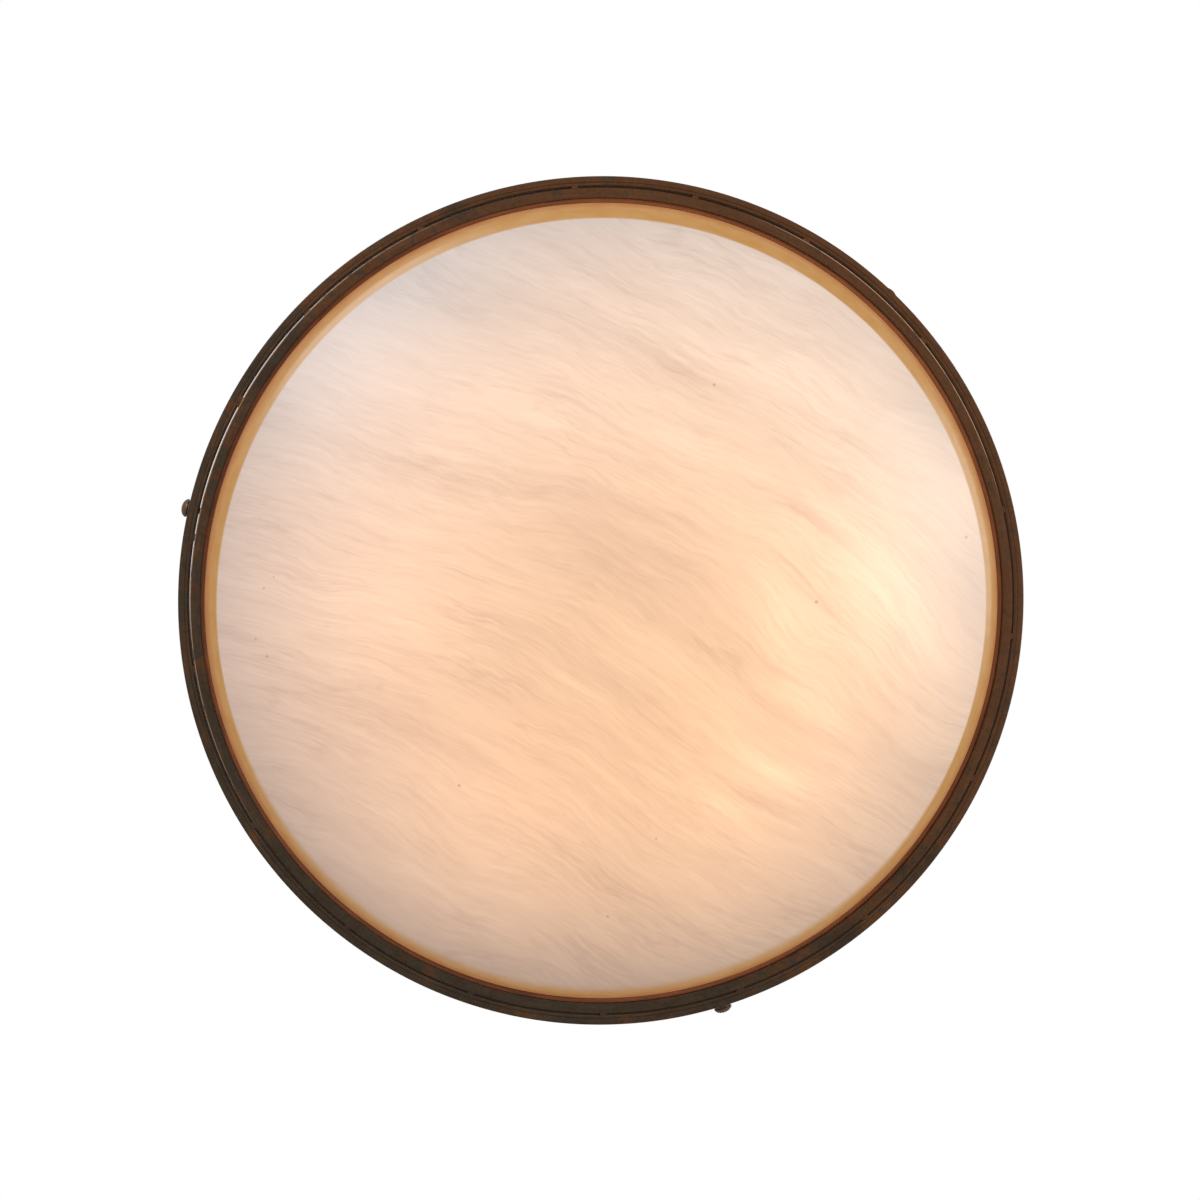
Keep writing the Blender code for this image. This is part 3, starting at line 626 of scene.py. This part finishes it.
def extruded(name, outline, thickness, looks, place, bevel):
    """A flat closed outline in local X and Y, centred on local Z, with its edges broken."""
    work = bmesh.new()
    low, high = ([work.verts.new((x, y, z)) for x, y in outline] for z in (-thickness / 2, thickness / 2))
    work.faces.new(low)
    work.faces.new(high[::-1])
    for i in range(len(outline)):
        j = (i + 1) % len(outline)
        work.faces.new((low[i], high[i], high[j], low[j]))
    rims = [e for e in work.edges if (e.verts[0].co.z > 0) == (e.verts[1].co.z > 0)]
    bmesh.ops.bevel(work, geom=rims, offset=bevel, segments=2, profile=0.6, affect="EDGES")
    bmesh.ops.transform(work, matrix=place, verts=work.verts)
    return finish_mesh(name, work, looks)


def soft_box(name, size, centre, round_by, looks, place):
    work = bmesh.new()
    bmesh.ops.create_cube(work, size=1.0)
    bmesh.ops.scale(work, verts=work.verts, vec=size)
    bmesh.ops.bevel(work, geom=work.edges, offset=round_by, segments=3, profile=0.5, affect="EDGES")
    bmesh.ops.translate(work, verts=work.verts, vec=centre)
    bmesh.ops.transform(work, matrix=place, verts=work.verts)
    return finish_mesh(name, work, looks, 60)


def tube(name, route, radius, look):
    """A round wire along a smooth curve through the route's points."""
    curve = bpy.data.curves.new(name, "CURVE")
    curve.dimensions = "3D"
    curve.bevel_depth = radius
    curve.bevel_resolution = 3
    curve.use_fill_caps = True
    curve.resolution_u = 6
    spline = curve.splines.new("BEZIER")
    spline.bezier_points.add(len(route) - 1)
    for point, place in zip(spline.bezier_points, route):
        point.co = place
        point.handle_left_type = point.handle_right_type = "AUTO"
    curve.materials.append(LOOKS[look])
    return linked(name, curve)


def upright_box(node):
    """A CAD node's box, and the placement of its middle on the ceiling plane."""
    low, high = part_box(node)
    return low, high, Matrix.Translation(((low[0] + high[0]) / 2, (low[1] + high[1]) / 2, 0))


def bearing_matrix(bearing):
    return Matrix.Rotation(-radians(bearing), 4, "Z")


def radial_matrix(bearing, height, start=0.0):
    """Puts local +Z along a bearing, with the local origin at radius start."""
    place = bearing_matrix(bearing) @ Matrix.Translation((start, 0, height))
    return place @ Matrix.Rotation(pi / 2, 4, "Y")


def hand_made(size, seed):
    """Slight unevenness of a ring that was rolled and hammered by hand."""
    rng = random.Random(seed)
    waves = [(k, rng.uniform(0.3, 1.0) / k ** 0.6, rng.uniform(0, TAU)) for k in (2, 3, 5, 8, 13, 21, 34)]

    def shape(r, z, a):
        push = sum(amount * sin(k * a + phase) for k, amount, phase in waves)
        return r + size * push * 0.4, z + size * 0.3 * sin(4 * a + seed)

    return shape


def threaded(major, pitch, depth, low=-1.0, high=1.0):
    """Cuts a helical thread between two heights into the rows at a radius, or into all if that is None."""
    def shape(r, z, a):
        if (major and abs(r - major) > 1e-6) or not low <= z <= high:
            return r, z
        return r - depth * (0.5 + 0.5 * cos(TAU * (z / pitch - a / TAU))), z
    return shape


def hexagon(flat):
    """Makes the rows at radius flat six-sided; those just inside it stay round, as on a chamfered nut."""
    def shape(r, z, a):
        return (flat / cos((a % (TAU / 6)) - TAU / 12) if abs(r - flat) < 1e-6 else r), z
    return shape


def rows_between(radius, start, end, pitch, per_turn=8):
    """Section points up or down a threaded cylinder, close enough to carry its thread."""
    count = max(2, int(abs(end - start) / pitch * per_turn))
    return [(radius, start + (end - start) * i / count) for i in range(count + 1)]


def stands_for(piece, body, slot, *nodes):
    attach(piece, body)
    if nodes:
        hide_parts(*nodes)
    return piece


# ---- The shade ----
def make_outer_hoop():
    groove, groove_depth, groove_half = SLOT_OUTER + 2 * MM, 0.5 * MM, 0.5 * MM
    corners = [(OUTER_RADIUS, HOOP_BACK, 0.9 * MM), (OUTER_RADIUS, HOOP_FRONT, 1.1 * MM),
               (groove + groove_half, HOOP_FRONT, 0.2 * MM), (groove, HOOP_FRONT + groove_depth, 0.15 * MM),
               (groove - groove_half, HOOP_FRONT, 0.2 * MM), (SLOT_OUTER, HOOP_FRONT, 0.6 * MM),
               (SLOT_OUTER, HOOP_BACK, 0.6 * MM)]
    points, _ = rounded(corners, steps=4)
    tags = [1 if r < SLOT_OUTER + 1e-6 else 0 for r, _ in points]
    hoop = lathe("outer_hoop_rolled", points, ["bronze", "slot"], steps=360, tags=tags,
                 shape=hand_made(0.22 * MM, 3))
    stands_for(hoop, "shade", "rust_bronze", "outer_hoop")


def make_inner_hoop():
    flange_top = HOOP_FRONT + FLANGE_THICK
    corners = [(SLOT_INNER, HOOP_BACK, 0.6 * MM), (SLOT_INNER, HOOP_FRONT, 0.7 * MM, 1),
               (FLANGE_BORE, HOOP_FRONT, 0.9 * MM), (FLANGE_BORE, flange_top, 0.4 * MM),
               (HOOP_BORE, flange_top, 0), (HOOP_BORE, HOOP_BACK, 0.6 * MM)]
    points, tags = rounded(corners)
    tags = [2 if r > SLOT_INNER - 1e-6 and tag == 0 else tag for (r, _), tag in zip(points, tags)]
    hoop = lathe("inner_hoop_rolled", points, ["bronze", "edge_highlight", "slot"], steps=360, tags=tags,
                 shape=hand_made(0.14 * MM, 8))
    stands_for(hoop, "shade", "rust_bronze", "inner_hoop")


def make_tabs():
    """Each spacer is a short rounded bar in the slot."""
    for number, bearing in enumerate(TAB_BEARINGS, 1):
        width = (8 if bearing == WIDE_TAB else random.uniform(4.6, 6.0)) * MM
        reach = SLOT_OUTER - SLOT_INNER + 0.6 * MM
        middle = HOOP_FRONT + random.uniform(0.2, 0.5) * MM + TAB_DEPTH / 2
        centre = ((SLOT_OUTER + SLOT_INNER) / 2, 0, middle)
        tab = soft_box(f"spacer_bar_{number:02d}", (reach, width, TAB_DEPTH), centre, 0.5 * MM, ["bronze"],
                       bearing_matrix(bearing))
        stands_for(tab, "shade", "rust_bronze", f"spacer_tab_{number:02d}")


def make_lip():
    low, high = LIP_LOW[2], LIP_HIGH[2]
    corners = [(HOOP_BORE - 0.2 * MM, high, 0), (HOOP_BORE - 0.2 * MM, low, 0),
               (LIP_BORE, low, 0.5 * MM), (LIP_BORE, high, 0.3 * MM)]
    stands_for(ring("lip_ring", corners, "lip", 300), "shade", "red_bronze", "retaining_lip")


def diffuser_section():
    """Flange, rounded shoulder and shallow dome, inside surface first, then down the outside."""
    end = DOME_EDGE_SLOPE - pi / 2
    dome_radius = DOME_EDGE / sin(DOME_EDGE_SLOPE)
    dome = (0, DIFFUSER_LOW[2] + dome_radius)
    edge_z = dome[1] - dome_radius * cos(DOME_EDGE_SLOPE)
    shoulder = (SHOULDER_OUTER - SHOULDER_RADIUS, edge_z + SHOULDER_RADIUS * cos(DOME_EDGE_SLOPE))
    flange_top = DIFFUSER_HIGH[2]
    flange_bottom = flange_top - DIFFUSER_FLANGE
    flange_outer = DIFFUSER_HIGH[0]
    inside = arc(dome, dome_radius - DIFFUSER_WALL, -pi / 2, end, 48)
    inside[0] = (0, inside[0][1])
    inside += arc(shoulder, SHOULDER_RADIUS - DIFFUSER_WALL, end, 0, 10)[1:]
    flange, _ = rounded([(inside[-1][0], flange_bottom, 0), (inside[-1][0], flange_top, 1 * MM),
                         (flange_outer, flange_top, 1 * MM), (flange_outer, flange_bottom, 1 * MM),
                         (SHOULDER_OUTER, flange_bottom, 0)], closed=False)
    outside = arc(shoulder, SHOULDER_RADIUS, 0, end, 12) + arc(dome, dome_radius, end, -pi / 2, 64)[1:]
    outside[-1] = (0, outside[-1][1])
    return inside + flange[1:] + outside


def make_diffuser():
    bowl = lathe("diffuser_bowl", diffuser_section(), ["diffuser"], steps=288, sharp=50)
    stands_for(bowl, "shade", "veined_diffuser", "diffuser")
    low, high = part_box("diffuser_gasket")
    bore = LIP_BORE + 0.6 * MM
    felt = flat_ring("felt_ring", bore, high[0], low[2], high[2], 0.3 * MM, "felt", 240, arcs=2)
    stands_for(felt, "shade", "felt", "diffuser_gasket")


def make_thumbscrew(number, bearing, stand_off):
    look = "knob" if stand_off else "bronze"  # the screw that is screwed home gets the hoops' darker bronze, the other two the lighter knob bronze
    place = radial_matrix(bearing, SCREW_Z, SCREW_TIP + stand_off)
    head = OUTER_RADIUS + WASHER_THICK + 0.6 * MM - SCREW_TIP
    rim = head + 0.3 * MM
    dome = []
    for i in range(15):
        a = pi / 2 * (1 - i / 14)
        dome.append((SCREW_HEAD_RADIUS * cos(a), rim + (head + SCREW_HEAD_HEIGHT - rim) * sin(a)))
    dome[0] = (0, head + SCREW_HEAD_HEIGHT)
    under = [(SCREW_HEAD_RADIUS - 0.3 * MM, head), (SCREW_SHANK, head)]
    thread_low, thread_high = 1.2 * MM, head - 1 * MM
    shank = rows_between(SCREW_SHANK, thread_high, thread_low, SCREW_PITCH)
    tip = [(SCREW_SHANK - 0.7 * MM, 0.3 * MM), (SCREW_SHANK - 1.2 * MM, 0), (0, 0)]
    cut = threaded(SCREW_SHANK, SCREW_PITCH, 0.4 * MM, thread_low, thread_high)
    screw = lathe(f"thumbscrew_{number}_turned", dome + under + shank + tip, [look], steps=48,
                  place=place, shape=cut, sharp=50)
    stands_for(screw, f"screw_{number}", "rust_bronze", f"thumbscrew_{number}")
    low, bore = OUTER_RADIUS + 0.3 * MM - SCREW_TIP, SCREW_SHANK + 0.3 * MM
    high = low + WASHER_THICK
    corners = [(WASHER_RADIUS, high, 0.2 * MM), (WASHER_RADIUS, low, 0.2 * MM),
               (bore, low, 0.1 * MM), (bore, high, 0.1 * MM)]
    washer = ring(f"washer_{number}_turned", corners, look, 48, place=place, arcs=3)
    stands_for(washer, f"washer_{number}", "brass", f"thumb_washer_{number}")


# ---- The pan and its fittings ----
def make_pan():
    """Spun sheet: bronze outside, white inside, with a rolled hem at the skirt's edge."""
    hem = 1.6 * MM
    corners = [(RECESS_RADIUS, 0, 1.5 * MM), (PAN_RADIUS, 0, PAN_CORNER), (PAN_RADIUS, PAN_BOTTOM + hem, 0)]
    outside, _ = rounded(corners, closed=False, steps=10)
    bead = arc((PAN_RADIUS - hem / 2, PAN_BOTTOM + hem / 2), hem / 2, 0, -1.5 * pi, 10)
    skirt, recess_wall, recess_face = PAN_RADIUS - PAN_SHEET, RECESS_RADIUS + PAN_SHEET, RECESS_FLOOR - PAN_SHEET
    corners = [(skirt, PAN_BOTTOM + 1.4 * hem, 0), (skirt, -PAN_SHEET, PAN_CORNER),
               (recess_wall, -PAN_SHEET, 1 * MM), (recess_wall, recess_face, 2 * MM), (NIPPLE_HOLE, recess_face, 0)]
    inside, _ = rounded(corners, closed=False, steps=8)
    corners = [(NIPPLE_HOLE, RECESS_FLOOR, 0), (RECESS_RADIUS, RECESS_FLOOR, 2 * MM),
               (RECESS_RADIUS, 0, 1.5 * MM), (RECESS_RADIUS + 10 * MM, 0, 0)]
    recess, _ = rounded(corners, closed=False, steps=6)
    points = recess + outside[1:] + bead + inside
    tags = [0] * (len(recess) + len(outside) - 1 + len(bead)) + [1] * len(inside)
    pan = lathe("pan_spun", points, ["bronze", "enamel"], steps=240, tags=tags, shape=hand_made(0.08 * MM, 5))
    stands_for(pan, "pan", "rust_bronze", "ceiling_pan")


def make_strap():
    low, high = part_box("mounting_strap")
    width = high[1] - low[1]
    half = high[0] - width / 2
    turns = [pi * i / 16 - pi / 2 for i in range(17)]
    outline = [(half + width / 2 * cos(t), width / 2 * sin(t)) for t in turns]
    loops = [outline + [(-x, -y) for x, y in outline]]
    stud_x = (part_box("strap_stud_2")[0][0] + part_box("strap_stud_2")[1][0]) / 2
    circle = [TAU * i / 28 for i in range(28)]
    for x, radius in ((-stud_x, 3.0), (stud_x, 3.0), (-25 * MM, 2.2), (25 * MM, 2.4)):
        loops.append([(x + radius * MM * cos(t), radius * MM * sin(t)) for t in circle])
    edge = 0.25 * MM
    curve = bpy.data.curves.new("strap", "CURVE")
    curve.dimensions = "2D"
    curve.fill_mode = "BOTH"
    curve.extrude = (high[2] - low[2]) / 2 - edge
    curve.bevel_depth = edge
    curve.bevel_resolution = 1
    curve.offset = -edge
    for loop in loops:
        spline = curve.splines.new("POLY")
        spline.points.add(len(loop) - 1)
        for point, (x, y) in zip(spline.points, loop):
            point.co = (x, y, 0, 1)
        spline.use_cyclic_u = True
    guide = linked("strap_guide", curve)
    bpy.context.view_layer.update()
    mesh = bpy.data.meshes.new_from_object(guide.evaluated_get(bpy.context.evaluated_depsgraph_get()))
    bpy.data.objects.remove(guide)
    work = bmesh.new()
    work.from_mesh(mesh)
    bmesh.ops.translate(work, verts=work.verts, vec=(0, 0, (low[2] + high[2]) / 2))
    stands_for(finish_mesh("strap_bar", work, ["zinc"]), "pan", "zinc_steel", "mounting_strap")


def threaded_rod(name, low, high, radius, pitch, depth, chamfer, look, steps, place=None, per_turn=8):
    """A screw rod between two heights, with chamfered ends."""
    points = [(0, high), (radius - chamfer, high)]
    points += rows_between(radius, high - chamfer, low + chamfer, pitch, per_turn)
    points += [(radius - chamfer, low), (0, low)]
    return lathe(name, points, [look], steps=steps, place=place,
                 shape=threaded(radius, pitch, depth, low, high), sharp=60)


def make_studs():
    for number in (1, 2):
        low, high, middle = upright_box(f"strap_stud_{number}")
        stud = threaded_rod(f"stud_{number}_threaded", low[2], high[2], 2.5 * MM, 0.8 * MM, 0.4 * MM,
                            0.5 * MM, "zinc", 28, middle)
        stands_for(stud, "pan", "zinc_steel", f"strap_stud_{number}")
        make_cap_nut(number)


def make_cap_nut(number):
    low, high, middle = upright_box(f"cap_nut_{number}")
    flat, top, bottom, cap = 5.2 * MM, high[2], low[2], 4.4 * MM
    points = [(0, top - 10 * MM), (2.8 * MM, top - 10 * MM), (2.8 * MM, top), (flat * 0.97, top),
              (flat, top - 0.4 * MM), (flat, top - 6 * MM), (flat * 0.97, top - 6.5 * MM),
              (4.5 * MM, top - 6.7 * MM)]
    points += arc((0, bottom + cap), cap, 0, -pi / 2, 8)[:-1] + [(0, bottom)]
    nut = lathe(f"cap_nut_{number}_hex", points, ["brass"], steps=48, place=middle,
                shape=hexagon(flat))
    stands_for(nut, "pan", "brass", f"cap_nut_{number}")


def make_ground_screw():
    low, high, middle = upright_box("ground_screw")
    shank, head, pitch, round_by = 1.7 * MM, (high[0] - low[0]) / 2, 0.6 * MM, 1.2 * MM
    head_top = low[2] + 2.5 * MM
    points = [(0, high[2]), (shank - 0.3 * MM, high[2])]
    points += rows_between(shank, high[2] - 0.3 * MM, head_top, pitch)
    points += [(head - 0.2 * MM, head_top), (head, head_top - 0.2 * MM), (head, head_top - round_by)]
    points += arc((head - round_by, head_top - round_by), round_by, 0, -pi / 2, 5)[1:] + [(0, low[2])]
    screw = lathe("ground_screw_green", points, ["brass"], steps=32, place=middle,
                  shape=threaded(shank, pitch, 0.3 * MM, head_top, high[2]), sharp=50)
    stands_for(screw, "pan", "brass", "ground_screw")


def make_cover():
    low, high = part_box("wiring_cover")
    top, bottom, sheet = high[2], low[2], 1 * MM
    corners = [(68 * MM, top, 0.3 * MM), (68 * MM, top - sheet, 0.3 * MM), (61 * MM, top - sheet, 1 * MM),
               (59 * MM, bottom, 4 * MM), (NIPPLE_HOLE, bottom, 0), (NIPPLE_HOLE, bottom + sheet, 0),
               (58 * MM, bottom + sheet, 3 * MM), (60 * MM, top, 0.5 * MM)]
    stands_for(ring("wiring_cup", corners, "enamel", 144), "pan", "white_enamel", "wiring_cover")
    for bearing in LAMP_BEARINGS:
        place = radial_matrix(bearing, LAMP_Z, 59 * MM)
        bush = grommet(f"cover_grommet_{bearing}", place, 2.4 * MM, 4.6 * MM, 3 * MM)
        stands_for(bush, "pan", "wire")


def grommet(name, place, inner, outer, length):
    """A rubber ring that lines a hole in sheet."""
    return flat_ring(name, inner, outer, -length / 2, length / 2, 0.7 * MM, "rubber", 28, place)


def make_nipple():
    low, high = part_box("pan_nipple")
    nipple = threaded_rod("nipple_threaded", low[2], high[2], high[0], 0.94 * MM, 0.45 * MM, 0.6 * MM,
                          "brass", 36, per_turn=6)
    stands_for(nipple, "pan", "brass", "pan_nipple")

    low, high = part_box("nipple_locknut")
    flat, bore = 7.9 * MM, 5.1 * MM
    points = [(bore, high[2]), (flat * 0.97, high[2]), (flat, high[2] - 0.4 * MM),
              (flat, low[2] + 0.4 * MM), (flat * 0.97, low[2]), (bore, low[2])]
    nut = lathe("locknut_hex", points, ["brass"], steps=48, shape=hexagon(flat))
    stands_for(nut, "pan", "brass", "nipple_locknut")

    low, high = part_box("cover_nut")
    top, bottom, radius = high[2], low[2], high[0]
    points = [(0, top - 6 * MM), (bore, top - 6 * MM), (bore, top), (9 * MM, top), (9.6 * MM, top - 0.6 * MM),
              (radius, top - 1.5 * MM), (radius, top - 6.5 * MM), (radius - 0.6 * MM, top - 7.2 * MM)]
    points += arc((0, bottom + 6 * MM), 8 * MM, -0.1, -pi / 2, 7)[:-1]
    points = [(r, max(z, bottom)) for r, z in points] + [(0, bottom)]

    def knurled(r, z, a):
        return (r - 0.35 * MM * (0.5 + 0.5 * cos(40 * a)), z) if abs(r - radius) < 1e-6 else (r, z)

    knob = lathe("cover_nut_knurled", points, ["brass"], steps=240, shape=knurled)
    stands_for(knob, "pan", "brass", "cover_nut")


# ---- The lamps ----
def make_lampholder(number, bearing):
    """A glazed porcelain cup with a brass screw shell inside and two terminal screws behind its shoulder."""
    place = radial_matrix(bearing, LAMP_Z, HOLDER_START)
    back, shoulder, bore, waist = 12 * MM, 16 * MM, HOLDER_BORE + 0.6 * MM, HOLDER_RADIUS - 1 * MM
    base = HOLDER_RADIUS - 3 * MM
    corners = [(0, back, 0), (bore, back, 1 * MM), (bore, HOLDER_LENGTH, 1 * MM),
               (HOLDER_RADIUS, HOLDER_LENGTH, 1.6 * MM), (HOLDER_RADIUS, 30 * MM, 0), (waist, 29 * MM, 0),
               (waist, 27 * MM, 0), (HOLDER_RADIUS, 26 * MM, 0), (HOLDER_RADIUS, shoulder, 1.5 * MM),
               (base, back, 1 * MM), (base, 0, 1.2 * MM), (0, 0, 0)]
    cup = ring(f"holder_{number}_cup", corners, "porcelain", 64, place=place)
    stands_for(cup, "pan", "porcelain", f"lampholder_{number}")
    wall = rows_between(HOLDER_BORE + 0.3 * MM, HOLDER_LENGTH - 2 * MM, back + 1 * MM, CAP_PITCH, 10)
    inner = [(r - 0.25 * MM, z) for r, z in reversed(wall)]
    shell = lathe(f"holder_{number}_shell", wall + inner, ["brass"], steps=48, place=place,
                  shape=threaded(None, CAP_PITCH, 0.55 * MM), sharp=60)
    stands_for(shell, "pan", "brass")
    for side in (-1, 1):
        spot = place @ Matrix.Translation((0, side * (HOLDER_RADIUS - 6 * MM), 0))
        corners = [(0, 0.2 * MM, 0), (2.4 * MM, 0.2 * MM, 0.3 * MM), (2.4 * MM, -1 * MM, 0.2 * MM),
                   (0, -1 * MM, 0)]
        head = ring(f"holder_{number}_rivet_{'left' if side < 0 else 'right'}", corners, "brass", 24, spot)
        stands_for(head, "pan", "brass")


def make_bulb(number, bearing):
    """An inside-frosted pear lamp with a rolled screw cap, its insulator and its contact."""
    place = radial_matrix(bearing, LAMP_Z, BULB_START)
    globe = arc((0, BULB_LENGTH - BULB_RADIUS), BULB_RADIUS, pi / 2, -pi / 5, 26)
    globe[0] = (0, BULB_LENGTH)
    join, neck = globe[-1], (CAP_RADIUS, 27 * MM)
    for i in range(1, 13):
        t = i / 12
        ease = 0.35 * t + 0.65 * t * t * (3 - 2 * t)
        globe.append((join[0] + (neck[0] - join[0]) * ease, join[1] + (neck[1] - join[1]) * t))
    globe += [(12.4 * MM, 26.5 * MM), (0, 26.5 * MM)]
    glass = lathe(f"bulb_{number}_globe", globe, ["frosted"], steps=48, place=place, sharp=60)
    stands_for(glass, f"lamp_{number}", "frosted_lamp", f"bulb_{number}")
    cap = [(0, 27.3 * MM), (13.3 * MM, 27.3 * MM), (13.3 * MM, 26.6 * MM)]
    cap += rows_between(CAP_RADIUS, 26 * MM, 7.5 * MM, CAP_PITCH, 10)
    cap += [(12 * MM, 6.4 * MM), (10 * MM, 5.8 * MM), (0, 5.8 * MM)]
    shell = lathe(f"bulb_{number}_cap", cap, ["nickel"], steps=48, place=place,
                  shape=threaded(CAP_RADIUS, CAP_PITCH, 0.6 * MM), sharp=60)
    stands_for(shell, f"lamp_{number}", "brass")
    corners = [(0, 6 * MM, 0), (10.5 * MM, 6 * MM, 0.3 * MM), (6 * MM, 2 * MM, 1 * MM), (0, 1.6 * MM, 0)]
    insulator = ring(f"bulb_{number}_insulator", corners, "glass_black", 32, place)
    stands_for(insulator, f"lamp_{number}", "wire")
    corners = [(0, 2 * MM, 0), (4.4 * MM, 2 * MM, 0.2 * MM), (4 * MM, 0.2 * MM, 0.8 * MM), (0, 0, 0)]
    contact = ring(f"bulb_{number}_contact", corners, "nickel", 24, place)
    stands_for(contact, f"lamp_{number}", "brass")


def make_bracket(number, bearing):
    """A bent zinc strip with a grommet where the leads pass."""
    outer = HOLDER_START - 0.3 * MM
    inner = outer - BRACKET_SHEET
    top = -PAN_SHEET - 0.2 * MM
    foot = outer - 18 * MM
    corners = [(foot, top, 0), (foot, top - BRACKET_SHEET, 0), (inner, top - BRACKET_SHEET, 2 * MM),
               (inner, BRACKET_BOTTOM, 0), (outer, BRACKET_BOTTOM, 0), (outer, top, 3.5 * MM)]
    outline, _ = rounded(corners, steps=6)
    upright = bearing_matrix(bearing) @ Matrix.Rotation(pi / 2, 4, "X")
    bracket = extruded(f"bracket_{number}_bent", outline, BRACKET_WIDTH, ["zinc"], upright, 0.3 * MM)
    stands_for(bracket, "pan", "zinc_steel", f"socket_bracket_{number}")
    bush = grommet(f"bracket_{number}_grommet", radial_matrix(bearing, LAMP_Z, inner - 0.6 * MM),
                   2.6 * MM, 5.2 * MM, 2.2 * MM)
    stands_for(bush, "pan", "wire")


def make_leads():
    """Two insulated leads to each lampholder from the bundle under the cover, and the supply leads above."""
    for number, bearing in enumerate(LAMP_BEARINGS, 1):
        place = radial_matrix(bearing, LAMP_Z)
        for colour, sign in (("black", -1), ("white", 1)):
            route = []
            for k in range(9):
                t = k / 8
                reach = LOOM_RADIUS + (HOLDER_START + 1 * MM - LOOM_RADIUS) * t
                twist, off = pi * 2.5 * t, sign * LEAD_OFFSET
                route.append(place @ Vector((off * sin(twist), off * cos(twist), reach)))
            lead = tube(f"lamp_lead_{number}_{colour}", route, LEAD_RADIUS, f"wire_{colour}")
            stands_for(lead, "pan", "wire")
    turns = [TAU * i / 24 for i in range(25)]
    circle = [Vector((LOOM_RADIUS * cos(t), LOOM_RADIUS * sin(t), LAMP_Z)) for t in turns]
    for colour, shift in (("black", -LEAD_OFFSET), ("white", LEAD_OFFSET)):
        route = [p + Vector((0, 0, shift)) for p in circle]
        bundle = tube(f"loom_ring_{colour}", route, LEAD_RADIUS, f"wire_{colour}")
        stands_for(bundle, "pan", "wire", *(["wiring_loom"] if colour == "black" else []))
        tail_top = -7 * MM
        tail = [Vector((shift * cos(k * 0.9), LOOM_RADIUS + shift * sin(k * 0.9),
                        LAMP_Z + (tail_top - LAMP_Z) * k / 6)) for k in range(7)]
        stands_for(tube(f"supply_lead_{colour}", tail, LEAD_RADIUS, f"wire_{colour}"), "pan", "wire")
    bush = grommet("lead_grommet", Matrix.Translation((0, LOOM_RADIUS, RECESS_FLOOR - PAN_SHEET / 2)),
                   2.5 * MM, 7 * MM, 3.4 * MM)
    stands_for(bush, "pan", "wire")


# ---- The stage ----
def aim(made, target, up=Vector((0, 0, 1))):
    """Points local -Z at a target with local +Y towards up."""
    forward = (Vector(target) - made.location).normalized()
    right = forward.cross(up).normalized()
    turn = Matrix((right, right.cross(forward), -forward)).transposed()
    made.matrix_world = Matrix.Translation(made.location) @ turn.to_4x4()


def make_camera():
    target = Vector((*PICTURE_CENTRE, HOOP_FRONT))
    out = sin(CAMERA_TILT)
    away = Vector((out * cos(CAMERA_BEARING), -out * sin(CAMERA_BEARING), -cos(CAMERA_TILT)))
    data = bpy.data.cameras.new("camera")
    data.sensor_width = 36
    data.lens = data.sensor_width * CAMERA_DISTANCE / PICTURE_WIDTH
    data.clip_start = 0.05
    camera = linked("camera", data)
    camera.location = target + away * CAMERA_DISTANCE
    aim(camera, target, up=Vector((0, -1, 0)))
    bpy.context.scene.camera = camera


def area_light(name, place, size, watts, colour):
    data = bpy.data.lights.new(name, "AREA")
    data.size = size
    data.energy = watts
    data.color = colour
    made = linked(name, data)
    made.location = place
    aim(made, LIGHT_TARGET)


def make_stage():
    floor = Graph("pale_floor")
    tint = floor.noise(floor.coords(), 3, 3, 0.5)
    floor.set(Base_Color=floor.mix(tint, (0.78, 0.78, 0.77), (0.82, 0.82, 0.81)), Roughness=0.9)
    bpy.ops.mesh.primitive_plane_add(size=60, location=(0, 0, FLOOR_Z))
    plane = bpy.context.object
    plane.name = "floor"
    plane.data.materials.append(floor.material)

    world = bpy.data.worlds.new("white_room")
    world.use_nodes = True
    bpy.context.scene.world = world
    tree = world.node_tree
    room = tree.nodes["Background"]
    seen = tree.nodes.new("ShaderNodeBackground")
    for node, colour, strength in ((room, (0.94, 0.97, 1.0, 1.0), 0.62), (seen, (1.0, 1.0, 1.0, 1.0), 1.0)):
        node.inputs["Color"].default_value = colour
        node.inputs["Strength"].default_value = strength
    choose = tree.nodes.new("ShaderNodeMixShader")
    path = tree.nodes.new("ShaderNodeLightPath")
    tree.links.new(path.outputs["Is Camera Ray"], choose.inputs[0])
    tree.links.new(room.outputs[0], choose.inputs[1])
    tree.links.new(seen.outputs[0], choose.inputs[2])
    tree.links.new(choose.outputs[0], tree.nodes["World Output"].inputs["Surface"])

    area_light("soft_upper_left", (-1.3, -1.7, -1.5), 1.4, 42, (0.90, 0.95, 1.0))
    area_light("soft_right", (2.0, -0.3, -1.2), 1.2, 26, (1.0, 0.93, 0.85))
    area_light("soft_above", (0.8, 1.2, 1.8), 1.6, 36, (1.0, 0.98, 0.95))
    bpy.context.scene.view_settings.view_transform = "Standard"
    bpy.context.scene.view_settings.look = "None"


def main():
    make_camera()
    make_outer_hoop()
    make_inner_hoop()
    make_tabs()
    make_lip()
    make_diffuser()
    for number, (bearing, stand_off) in enumerate(zip(SCREW_BEARINGS, SCREW_STAND_OFF), 1):
        make_thumbscrew(number, bearing, stand_off)
    make_pan()
    make_strap()
    make_studs()
    make_ground_screw()
    make_cover()
    make_nipple()
    for number, bearing in enumerate(LAMP_BEARINGS, 1):
        make_lampholder(number, bearing)
        make_bulb(number, bearing)
        make_bracket(number, bearing)
    make_leads()
    make_stage()


main()
bpy.context.view_layer.update()
